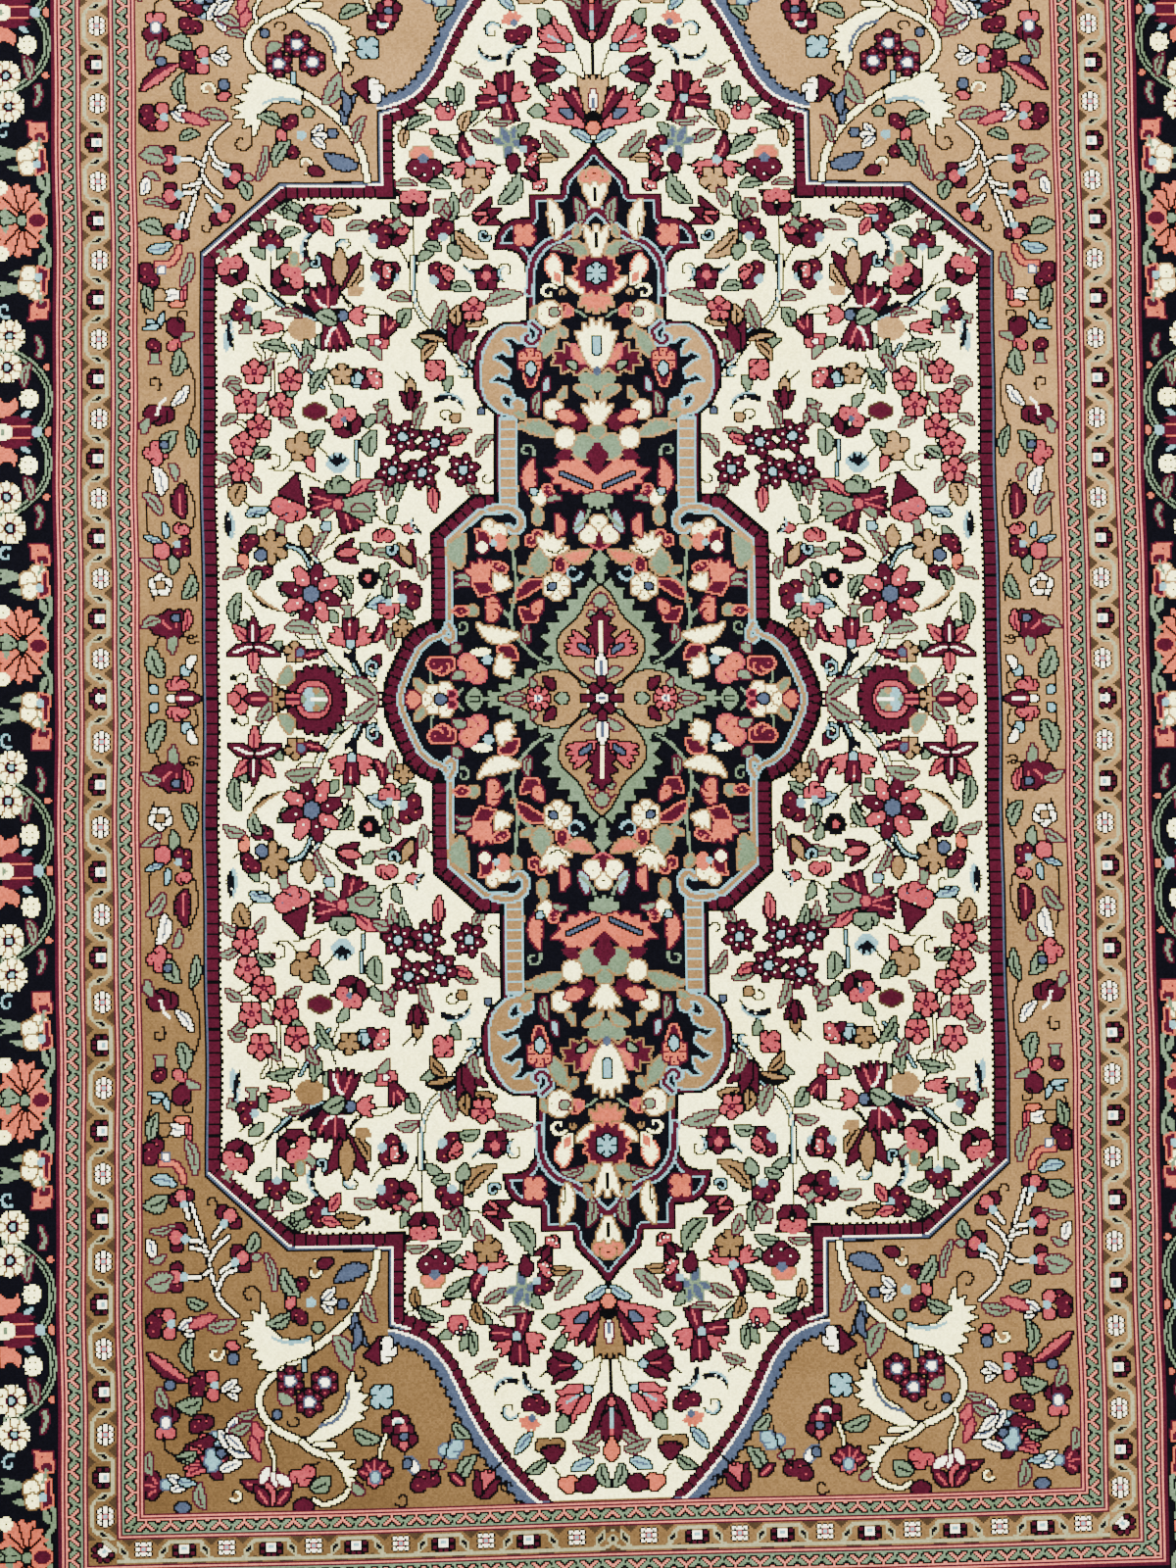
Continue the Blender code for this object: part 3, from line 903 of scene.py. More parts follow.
    # eight-petalled star
    star(s, 316, 605, 29, petals=8, yarn=BURGUNDY, other=ROSE, heart=SLATE, width=0.26)
    for h in range(0, 360, 30):
        disc(s, *toward(374, 589, h, 9.4), 2.5, NAVY, NONE)
    disc(s, 374, 589, 8.4, BLACK, NONE)
    disc(s, 374, 589, 3.8, ROSE, NONE)
    leaf(s, 349, 597, 330, 22, 8, SAGE)
    leaf(s, 385, 611, 60, 26, 11, SKY, bend=2)
    leaf(s, 240, 620, 10, 28, 11, SAGE, bend=-3)
    leaf(s, 270, 610, 125, 46, 8, GOLD, bend=5, edge=NONE, half=BLACK)
    # six-pointed lily
    for h, yarn in ((315, ROSE), (45, ROSE), (180, ROSE), (0, BURGUNDY), (250, BURGUNDY), (110, BURGUNDY)):
        leaf(s, *toward(257, 657, h, 14), h, 30, 13, yarn, vein=WHITE if yarn == BURGUNDY else NONE)
    tab(s, 353, 623, 0, 12)
    carnation(s, 356, 652, 0, 22)
    knot(s, 356, 636, WHITE)
    leaf(s, 358, 667, 10, 20, 8, NAVY, edge=NONE)
    leaf(s, 351, 666, 330, 12, 6, NAVY, edge=NONE)
    twoleaf(s, 306, 642, 100, 30, 12, bend=-4)
    leaf(s, 316, 664, 80, 28, 9, BURGUNDY, bend=2)
    rosette(s, 299, 664, 11, 5, GOLD, notch=0.35)
    disc(s, 304, 664, 4, SLATE, BURGUNDY)
    bud(s, 382, 673, 30, 9, BURGUNDY)
    leaf(s, 384, 641, 20, 26, 9, BURGUNDY, bend=3)
    curl(s, 378, 687, 9, 330, -290, BLACK)
    disc(s, 381, 683, 3, SKY, NONE)
    # round palmette on the cross line
    leaf(s, 366, 702, 300, 34, 13, SAGE, edge=BURGUNDY, teeth=1)
    polar(s, 320, 711, lambda a: 30.5 + 2.6 * np.cos(22 * a) + 1.5 * np.cos(2 * a), BURGUNDY)
    disc(s, 317, 711, 18, ROSE, BLACK, flat=1.05)
    leaf(s, 296, 711, 270, 34, 13, ROSE, edge=BLACK)
    disc(s, 318, 711, 13, SAGE, BURGUNDY, flat=0.95)
    disc(s, 313, 705, 5.5, SKY, NONE)
    disc(s, 320, 703, 3.5, GOLD, NONE)
    thread(s, [(316, 711), (330, 711)], WHITE)
    rosette(s, 277, 711, 12, 6, GOLD, notch=0.35)
    leaf(s, 259, 711, 270, 26, 13, BURGUNDY)
    for a, b in ((243, 703), (236, 711)):
        disc(s, a, b, 6.2, ROSE)
    twoleaf(s, 266, 699, 320, 20, 9)
    leaf(s, 288, 687, 30, 22, 12, SAGE, edge=GOLD, bend=3)
    curl(s, 246, 692, 8, 260, 300, BLACK)
    disc(s, 236, 690, 3.5, BLACK, NONE)
    # burgundy cluster by the neck
    for a, b, h in ((431, 425, 20), (390, 425, 330), (497, 455, 40), (440, 505, 170), (482, 507, 160),
                    (400, 500, 200), (470, 447, 60)):
        twoleaf(s, a, b, h, 26, 9)
    leaf(s, 468, 449, 60, 20, 9, ROSE)
    leaf(s, 443, 510, 175, 26, 10, ROSE)
    leaf(s, 412, 498, 200, 26, 9, SAGE)
    for a, b, r in ((412, 446, 16), (445, 452, 16), (474, 480, 16), (432, 482, 16), (402, 480, 15)):
        star(s, a, b, r)
    curl(s, 455, 425, 8, 100, -300, BLACK)
    disc(s, 466, 427, 4.6, GOLD)
    curl(s, 498, 488, 7, 90, 260, BLACK)
    disc(s, 492, 420, 3, SLATE)
    # below the cluster, beside the octagon
    bud(s, 418, 539, 270, 8, ROSE)
    feather(s, 424, 535, 340, 18)
    lily(s, 413, 566, 330, 14, BURGUNDY, GOLD)
    twoleaf(s, 427, 580, 170, 20, 8)
    bean(s, 414, 607, 60, 16, cup=False)
    twoleaf(s, 400, 650, 190, 22, 9)
    rosette(s, 409, 640, 10, 5, GOLD, notch=0.35)
    bean(s, 395, 618, 180, 12, yarn=ROSE, dot=BURGUNDY, leaves=False, cup=False)
    # pale blue curls and small leaves in the open ground
    for x, y, r, start in ((378, 678, 8, 180), (322, 268, 6, 20), (398, 560, 6, 60), (496, 240, 6, 120)):
        curl(s, x, y, r, start, 300, SKY, 2.6, BLACK)
    for x, y, heading in ((384, 360, 320), (392, 424, 30), (334, 524, 60), (268, 408, 210), (402, 590, 200),
                          (452, 210, 40)):
        twoleaf(s, x, y, heading, 15, 6.5)


def band_vine(s):
    """The dark vine that wanders up the gold band."""
    for points in ([(158, 560), (150, 540), (149, 515), (153, 486)], [(196, 540), (199, 515), (190, 490)],
                   [(150, 700), (150, 680), (156, 660), (163, 645)], [(196, 700), (200, 688), (192, 680)],
                   [(180, 646), (192, 650), (200, 648)], [(155, 612), (153, 600), (158, 590)],
                   [(200, 612), (199, 590), (192, 575)], [(190, 440), (197, 420), (200, 400), (196, 380),
                                                          (186, 360)], [(150, 322), (146, 310), (150, 296)],
                   [(168, 318), (160, 330)], [(176, 262), (183, 250), (186, 244)]):
        thread(s, points, BLACK)


def paint_side_band(s):
    """The gold band between guard and field."""
    band_vine(s)
    trefoil(s, 179, 701, 0, 12, ROSE, dot=BURGUNDY, spread=60)
    leaf(s, 188, 711, 90, 28, 18, BURGUNDY)
    thread(s, [(182, 711), (194, 711)], WHITE)
    disc(s, 172, 711, 4, WHITE)
    disc(s, 155, 702, 4, SKY)
    leaf(s, 158, 674, 340, 30, 15, SAGE, bend=-3)
    disc(s, 187, 683, 5, SKY)
    leaf(s, 195, 675, 30, 16, 8, WHITE, bend=-3)
    fan(s, 176, 645, 345, 24, BURGUNDY, tips=5, spread=150, depth=0.12)
    leaf(s, 187, 632, 10, 24, 8, ROSE, bend=3)
    disc(s, 178, 630, 4, SLATE)
    twoleaf(s, 153, 636, 250, 18, 8)
    twoleaf(s, 176, 657, 190, 16, 8)
    curl(s, 194, 650, 7, 120, 280, BLACK)
    trefoil(s, 162, 597, 0, 12, WHITE, lobes=5, spread=72)
    disc(s, 162, 597, 4, GOLD, BLACK)
    leaf(s, 190, 598, 20, 24, 12, SAGE, bend=4)
    twoleaf(s, 152, 577, 300, 20, 7)
    trefoil(s, 183, 545, 20, 11, ROSE, lobes=2, dot=BURGUNDY)
    bean(s, 183, 558, 130, 12, leaves=False, cup=False)
    disc(s, 164, 562, 8, ROSE)
    leaf(s, 168, 541, 350, 16, 6, SKY)
    leaf(s, 156, 551, 290, 18, 5, SKY)
    leaf(s, 174, 576, 180, 16, 8, SAGE)
    leaf(s, 187, 512, 0, 36, 17, BURGUNDY, bend=-4, teeth=1)
    twoleaf(s, 155, 515, 320, 26, 10)
    leaf(s, 161, 491, 345, 32, 15, WHITE, bend=4, teeth=1)
    trefoil(s, 160, 463, 225, 13, ROSE, dot=BURGUNDY, lobes=4, spread=90)
    disc(s, 160, 462, 5, ROSE, NONE)
    leaf(s, 174, 452, 30, 22, 12, SAGE)
    disc(s, 168, 455, 3.6, SLATE)
    leaf(s, 194, 452, 170, 28, 9, SAGE, bend=-3)
    twoleaf(s, 177, 482, 160, 16, 6)
    trefoil(s, 163, 417, 185, 18, BURGUNDY, spread=48)
    thread(s, [(160, 424), (163, 414), (168, 408)], WHITE)
    leaf(s, 183, 404, 40, 26, 11, WHITE, bend=3, teeth=1)
    twoleaf(s, 150, 436, 200, 16, 7)
    curl(s, 157, 392, 8, 150, -320, BLACK)
    leaf(s, 180, 370, 10, 26, 13, SAGE, bend=4)
    tab(s, 158, 365, 180, 12)
    disc(s, 180, 334, 9, BURGUNDY)
    trefoil(s, 161, 350, 220, 11, BURGUNDY, dot=ROSE, lobes=2)
    trefoil(s, 176, 349, 150, 10, ROSE, dot=SALMON, lobes=2)
    for h in (300, 20, 260):
        leaf(s, *toward(162, 334, h, 7), h, 17, 5, SKY)
    twoleaf(s, 192, 345, 70, 14, 6)
    curl(s, 188, 322, 8, 200, 260, BLACK)
    leaf(s, 176, 302, 80, 20, 12, WHITE)
    disc(s, 163, 302, 6, GOLD)
    leaf(s, 153, 302, 350, 28, 10, SAGE, bend=-3)
    leaf(s, 182, 311, 90, 16, 7, SALMON)
    leaf(s, 188, 300, 10, 18, 6, ROSE)
    trefoil(s, 156, 279, 240, 15, BURGUNDY, dot=ROSE)
    stroke(s, smooth([(160, 270), (172, 270), (180, 262), (183, 254)]), 5, SALMON, BURGUNDY)
    disc(s, 165, 276, 3.4, WHITE, SLATE)
    leaf(s, 190, 275, 15, 32, 10, SAGE, edge=BURGUNDY, bend=3, teeth=1)


def paint_corner(s):
    """The gold corner: cream scrolling vine, sprays, rosettes and palmettes."""
    # thin twigs that join the sprays
    for points in ([(186, 244), (196, 214), (204, 190), (212, 160), (220, 140), (236, 124)],
                   [(206, 186), (190, 190)], [(210, 168), (196, 160)], [(209, 178), (216, 190), (228, 200)],
                   [(217, 150), (224, 164), (236, 168)]):
        stroke(s, smooth(points), 2.6, WHITE, BLACK)
    berries(s, 177, 162, 270, 10)
    berries(s, 178, 199, 260, 10)
    berries(s, 239, 178, 120, 10)
    berries(s, 227, 217, 140, 10)
    berries(s, 181, 236, 200, 9)
    leaf(s, 154, 234, 290, 24, 15, SAGE, teeth=1)
    leaf(s, 163, 252, 75, 26, 10, SKY, bend=2)
    leaf(s, 158, 160, 280, 24, 17, SAGE, edge=BURGUNDY, teeth=1)
    twoleaf(s, 160, 209, 280, 24, 6)
    leaf(s, 150, 189, 20, 20, 10, WHITE)
    twoleaf(s, 156, 180, 290, 14, 5)
    leaf(s, 251, 194, 160, 18, 10, SAGE)
    twoleaf(s, 256, 180, 100, 10, 5)
    curl(s, 210, 232, 7, 60, 250, BLACK)
    # pansy, burgundy-and-white flowers
    trefoil(s, 162, 20, 0, 13, ROSE, lobes=2, spread=70)
    trefoil(s, 162, 28, 180, 14, BURGUNDY, lobes=3, spread=65)
    disc(s, 162, 24, 4.6, WHITE, SLATE)
    twoleaf(s, 160, 48, 200, 20, 9)
    for x, y in ((200, 58), (158, 117)):
        for h in (60, 100, 140):
            leaf(s, *toward(x + 23, y - 4, h, 6), h - 15, 20, 7, WHITE)
        trefoil(s, x, y, 250, 15, BURGUNDY, dot=ROSE, spread=62)
        disc(s, x + 10, y - 8, 6, ROSE)
        disc(s, x + 9, y + 9, 6, ROSE)
        disc(s, x + 12, y + 1, 4, SKY, NONE)
    leaf(s, 166, 76, 55, 50, 15, BURGUNDY, half=ROSE, bend=-3, teeth=1)
    disc(s, 167, 60, 4.6, SLATE)
    leaf(s, 190, 88, 0, 28, 10, SAGE, bend=-6)
    leaf(s, 186, 44, 280, 24, 14, SAGE, bend=5)
    curl(s, 214, 89, 10, 120, -320, BLACK)
    curl(s, 214, 89, 8, 100, -280, CREAM)
    disc(s, 231, 84, 5, SLATE)
    bud(s, 231, 96, 70, 8, ROSE)
    leaf(s, 202, 120, 110, 30, 11, ROSE, edge=BURGUNDY, teeth=1)
    leaf(s, 221, 117, 100, 26, 10, SAGE, edge=BURGUNDY, bend=-3, teeth=1)
    leaf(s, 196, 138, 75, 18, 8, SAGE)
    trefoil(s, 199, 18, 200, 14, BURGUNDY, dot=ROSE)
    disc(s, 203, 5, 8, ROSE)
    disc(s, 212, 8, 6, SKY, SLATE)
    for h in (40, 90, 140):
        leaf(s, *toward(225, 16, h, 7), h, 18, 7, WHITE)
    fan(s, 252, 18, 20, 16, ROSE, tips=3, spread=80, depth=0.4, edge=BURGUNDY)
    twoleaf(s, 244, 32, 280, 18, 6)
    # great vine with acanthus
    vine = smooth([(378, 182), (374, 160), (366, 142), (352, 122), (336, 108), (316, 94), (294, 80),
                   (272, 68), (259, 54), (257, 38), (266, 22), (284, 10), (306, 3), (330, 0)], 5)
    stroke(s, vine, 5.5, CREAM, BLACK)
    body = [(312, 90), (300, 84), (284, 80), (272, 72), (256, 74), (262, 82), (250, 84), (258, 92),
            (244, 96), (254, 102), (240, 108), (250, 112), (242, 118), (254, 119), (252, 128), (261, 124),
            (262, 138), (267, 128), (270, 112), (280, 102), (296, 100), (310, 104)]
    fill(s, body, CREAM, BLACK)
    stroke(s, smooth([(272, 103), (286, 98), (302, 99), (309, 102)]), 3.4, SKY, NONE)
    curl(s, 250, 144, 11, 60, 320, BLACK)
    right = [(300, 3), (322, 4), (340, 12), (352, 22), (362, 24), (356, 30), (366, 34), (358, 40),
             (366, 46), (356, 50), (360, 58), (352, 60), (352, 70), (346, 60), (344, 46), (336, 30),
             (322, 22), (316, 14)]
    fill(s, right, CREAM, BLACK)
    stroke(s, smooth([(318, 18), (334, 24), (344, 38), (347, 50)]), 4, SLATE, NONE)
    curl(s, 358, 66, 8, 180, -280, BLACK)
    for a, b in ((307, 41), (288, 62), (323, 60)):
        rosette(s, a, b, 13.5, 6, BURGUNDY, notch=0.28, dots=ROSE)
        disc(s, a, b, 4.4, WHITE, SLATE)
    leaf(s, 303, 76, 0, 14, 5, SKY)
    disc(s, 274, 30, 4, SLATE)
    twoleaf(s, 284, 46, 60, 16, 8)
    curl(s, 292, 24, 8, 270, 250, BLACK)
    # flowers inside the corner
    leaf(s, 342, 88, 25, 32, 15, SAGE, edge=BURGUNDY, teeth=1, bend=3)
    trefoil(s, 384, 90, 80, 13, WHITE, spread=70)
    fill(s, [(364, 84), (378, 76), (380, 102)], BURGUNDY, BLACK)
    leaf(s, 361, 110, 20, 30, 9, SLATE)
    leaf(s, 355, 103, 350, 22, 7, SLATE)
    leaf(s, 372, 130, 20, 26, 9, SAGE, edge=BURGUNDY, teeth=1)
    leaf(s, 352, 162, 290, 32, 14, SLATE, teeth=1, bend=-3)
    trefoil(s, 380, 45, 0, 13, SKY, lobes=4, spread=90)
    disc(s, 380, 45, 4, SKY, NONE)
    leaf(s, 365, 9, 70, 26, 12, SAGE, teeth=1)
    rosette(s, 394, 17, 14, 6, BURGUNDY, notch=0.28)
    disc(s, 396, 18, 4.4, SKY, WHITE)
    for h in (40, 85, 130):
        leaf(s, *toward(322, 138, h, 9), h, 19, 7, WHITE)
    trefoil(s, 302, 128, 330, 13, BURGUNDY, dot=ROSE, lobes=2)
    trefoil(s, 301, 147, 200, 13, BURGUNDY, dot=ROSE, lobes=2)
    trefoil(s, 295, 138, 270, 11, ROSE, dot=SALMON, lobes=2)
    disc(s, 311, 136, 5, SKY, NONE)
    leaf(s, 278, 121, 290, 24, 10, SAGE, teeth=1)
    leaf(s, 291, 156, 210, 28, 12, SAGE, teeth=1)
    disc(s, 343, 134, 4.6, SLATE)
    twoleaf(s, 269, 165, 15, 36, 7, bend=3)
    curl(s, 314, 166, 11, 180, -330, BLACK)
    curl(s, 314, 166, 9, 170, -260, CREAM)
    bud(s, 325, 173, 110, 10, BURGUNDY)
    disc(s, 318, 112, 5, SAGE)
    paint_corner_end(s)


def paint_corner_end(s):
    """The gold corner next to the end guard, and the gold end beyond the field."""
    vine = smooth([(300, 3), (312, -6), (333, -14), (347, -30), (343, -48), (323, -57), (311, -52)], 5)
    stroke(s, vine, 5.0, CREAM, BLACK, 0.7)
    teeth = [(326, -8), (340, -8), (334, -14), (352, -16), (344, -22), (358, -28), (347, -31), (360, -40),
             (346, -40), (340, -26)]
    fill(s, teeth, CREAM, BLACK)
    trefoil(s, 299, -26, 20, 14, ROSE, dot=BURGUNDY, lobes=3, spread=80)
    leaf(s, 318, -36, 120, 20, 12, SAGE)
    thread(s, [(308, -20), (318, -16)])
    # star bud
    for x, y, h, yarn in ((250, -37, 250, BURGUNDY), (281, -48, 140, BURGUNDY), (267, -46, 190, ROSE),
                          (259, -47, 215, BURGUNDY)):
        leaf(s, x, y, h, 24, 11, yarn)
    for x, y, h in ((272, -30, 10), (262, -28, 330), (281, -33, 50)):
        leaf(s, x, y, h, 20, 8, WHITE, edge=BURGUNDY)
    stroke(s, smooth([(272, -22), (270, -8), (264, 6), (266, 18)]), 2.4, CREAM, BLACK)
    leaf(s, 252, -2, 20, 26, 9, ROSE, edge=BURGUNDY, teeth=1)
    twoleaf(s, 237, 19, 290, 20, 8)
    # great palmette against the side guard
    fan(s, 204, 4, 320, 26, BURGUNDY, tips=3, spread=90, depth=0.2, rays=ROSE)
    fan(s, 206, -16, 262, 26, ROSE, tips=5, spread=80, depth=0.2, rays=BURGUNDY)
    fan(s, 214, -24, 190, 26, BURGUNDY, tips=5, spread=90, depth=0.25, rays=ROSE)
    fan(s, 214, -12, 275, 13, SKY, tips=3, spread=140, depth=0.2, edge=SLATE)
    disc(s, 218, -6, 4, SLATE)
    for x, y, h in ((222, 6, 30), (236, -6, 70), (228, -18, 110), (232, 4, 50)):
        leaf(s, x, y, h, 24, 9, WHITE)
    leaf(s, 183, -7, 280, 18, 9, SAGE)
    twoleaf(s, 199, -46, 190, 22, 9)
    curl(s, 233, -46, 9, 300, 320, BLACK)
    curl(s, 233, -46, 7, 300, 250, CREAM)
    # tulip in the very corner
    fan(s, 155, -36, 265, 16, BURGUNDY, tips=3, spread=150, depth=0.15, rays=ROSE)
    disc(s, 163, -35, 4.4, SKY, SLATE)
    for x, y, h in ((172, -30, 60), (176, -38, 100), (183, -33, 80)):
        leaf(s, x, y, h, 18, 7, WHITE if x < 180 else SKY)
    twoleaf(s, 147, -15, 10, 20, 9)
    thread(s, [(186, -14), (172, -8), (162, 0), (160, 8)])
    disc(s, 179, -57, 7, SLATE, BLACK, flat=0.7)
    disc(s, 301, -58, 9, BURGUNDY, BLACK, flat=0.8)
    # flowers beside the arc
    stroke(s, smooth([(384, 8), (378, -8), (376, -20)]), 2.2, CREAM, BLACK)
    fan(s, 373, -32, 180, 19, BURGUNDY, tips=5, spread=170, depth=0.2, rays=ROSE)
    fan(s, 373, -30, 0, 12, ROSE, tips=3, spread=120, depth=0.2)
    disc(s, 373, -32, 4.6, SKY, SLATE)
    twoleaf(s, 356, -42, 230, 14, 7)
    rosette(s, 402, 6, 13, 5, BURGUNDY, notch=0.25)
    for y, h in ((-2, 0), (14, 180)):
        leaf(s, 402, y, h, 11, 7, ROSE, edge=NONE)
    disc(s, 402, 6, 3.6, SLATE, BLACK)
    thread(s, [(402, -8), (404, -22), (414, -34)])
    leaf(s, 411, -22, 40, 22, 9, WHITE, edge=SLATE)
    disc(s, 405, -20, 4, SLATE)
    trefoil(s, 425, -42, 200, 16, BURGUNDY, dot=ROSE, spread=60)
    trefoil(s, 449, -5, 20, 12, SKY, lobes=3, spread=80, edge=SLATE)
    leaf(s, 461, 10, 50, 20, 9, SAGE)
    leaf(s, 466, -28, 330, 28, 12, SAGE, bend=-4, teeth=1)
    leaf(s, 455, -36, 230, 20, 8, BURGUNDY)
    tulip(s, 484, -42, 160, 15, BURGUNDY, ROSE)
    twoleaf(s, 436, -20, 70, 16, 7)
    thread(s, [(449, 6), (444, -12), (436, -26), (430, -34)])
    thread(s, [(505, -16), (496, -26), (488, -32)])
    curl(s, 400, -54, 8, 300, 300, BLACK)
    curl(s, 504, -46, 7, 100, 300, BLACK)
    # the field's end, under the arcs
    bud(s, 611, -14, 180, 14, SALMON)
    for x, y, h in ((589, 0, 300), (586, -8, 250)):
        twoleaf(s, x, y, h, 24, 9)
    leaf(s, 581, -27, 290, 24, 10, SKY)
    trefoil(s, 549, -4, 0, 15, GOLD, spread=70)
    fan(s, 552, -20, 180, 15, BURGUNDY, tips=5, spread=120, depth=0.25)
    leaf(s, 522, -4, 320, 26, 9, SKY)
    thread(s, [(552, -28), (560, -38), (572, -44), (590, -40), (604, -28)])
    fan(s, 568, -50, 170, 14, SALMON, tips=3, spread=150, depth=0.15)
    fan(s, 588, -50, 200, 14, BURGUNDY, tips=3, spread=150, depth=0.15)
    leaf(s, 605, -38, 20, 22, 9, SAGE)
    leaf(s, 535, -26, 300, 20, 8, SAGE)


def berries(s, x, y, heading, size=11):
    """A spray of two burgundy berries and a rose one on a pale cup."""
    stem = place([(0, -2.2), (0, -0.9)], x, y, size, heading)
    stroke(s, stem, 3.0, WHITE, BLACK)
    for side, yarn in ((-0.75, BURGUNDY), (0.75, BURGUNDY), (0, ROSE)):
        px, py = point(side, 0.15 if side else 0.35, x, y, size, heading)
        disc(s, px, py, 0.62 * size, yarn)
        knot(s, px, py, ROSE if side else SALMON)
    px, py = point(0, -0.6, x, y, size, heading)
    disc(s, px, py, 0.42 * size, SKY, NONE)


def bean(s, x, y, heading, size, yarn=BURGUNDY, dot=SALMON, leaves=True, cup=True):
    """The commonest field flower: round lobes over a pale heart, two leaves and an open cup."""
    if leaves:
        for side in (-1, 1):
            px, py = point(0.95 * side, -0.75, x, y, size, heading)
            leaf(s, px, py, heading + 55 * side, 1.1 * size, 0.55 * size, SAGE)
    if cup:
        px, py = point(0, 1.3, x, y, size, heading)
        tab(s, px, py, heading, 0.75 * size)
    trefoil(s, x, y, heading, size, yarn, dot, spread=75)
    px, py = point(0, -0.35, x, y, size, heading)
    disc(s, px, py, 0.3 * size, SKY, NONE)


def posy(s, x, y, heading, size, tail=True):
    """Dotted rose bloom held by two burgundy sepals over a dark heart."""
    if tail:
        px, py = point(0, 1.35, x, y, size, heading)
        tab(s, px, py, heading, 0.7 * size)
    sepal = [(0, -0.95), (0.55, -0.9), (1.0, -0.3), (0.85, 0.35), (1.15, 0.85), (0.45, 0.5), (0.3, -0.2)]
    for side in (-1, 1):
        fill(s, place([(side * a, b) for a, b in sepal], x, y, size, heading), BURGUNDY)
    for a, b in ((-0.5, 0.35), (0.5, 0.35), (0, 0.6)):
        px, py = point(a, b, x, y, size, heading)
        disc(s, px, py, 0.42 * size, ROSE, BLACK if a else NONE)
        knot(s, px, py, BURGUNDY)
    px, py = point(0, -0.35, x, y, size, heading)
    disc(s, px, py, 0.25 * size, BLACK, NONE)


def pinks(s, x, y, r=12.5):
    """Five-petalled rose blossom with a small square heart."""
    rosette(s, x, y, r, 5, ROSE, notch=0.3)
    disc(s, x, y, 3.6, BURGUNDY, NONE)
    knot(s, x, y, ROSE)


def star(s, x, y, r, petals=6, yarn=BURGUNDY, other=NONE, heart=SKY, width=0.34):
    """Pointed petals round a pale heart, each with a pale fleck."""
    for i in range(petals):
        h = 360 * i / petals + 15
        shape = [(0, 0.2), (width, 0.55), (0.12, 1.05), (-0.12, 1.05), (-width, 0.55)]
        fill(s, place(shape, x, y, r, h), other if other != NONE and i % 2 else yarn)
    for i in range(petals):
        knot(s, *point(0, 0.58, x, y, r, 360 * i / petals + 15), WHITE)
    disc(s, x, y, 0.27 * r, heart, BLACK)


def twoleaf(s, x, y, heading, length, width, bend=0.0):
    """The sage leaf with a burgundy edge that goes with most flowers."""
    leaf(s, x, y, heading, length, width, SAGE, bend, BURGUNDY)


def carnation(s, x, y, heading, size):
    """Jagged side petals round a tall one."""
    for side in (-1, 1):
        foot = point(0.10 * side, -0.1, x, y, size, heading)
        fan(s, *foot, heading + 62 * side, size, ROSE, tips=3, spread=62, depth=0.28)
    fan(s, x, y, heading, 1.1 * size, BURGUNDY, tips=3, spread=52, depth=0.22)
    px, py = point(0, -0.15, x, y, size, heading)
    disc(s, px, py, 0.2 * size, SKY, NONE)


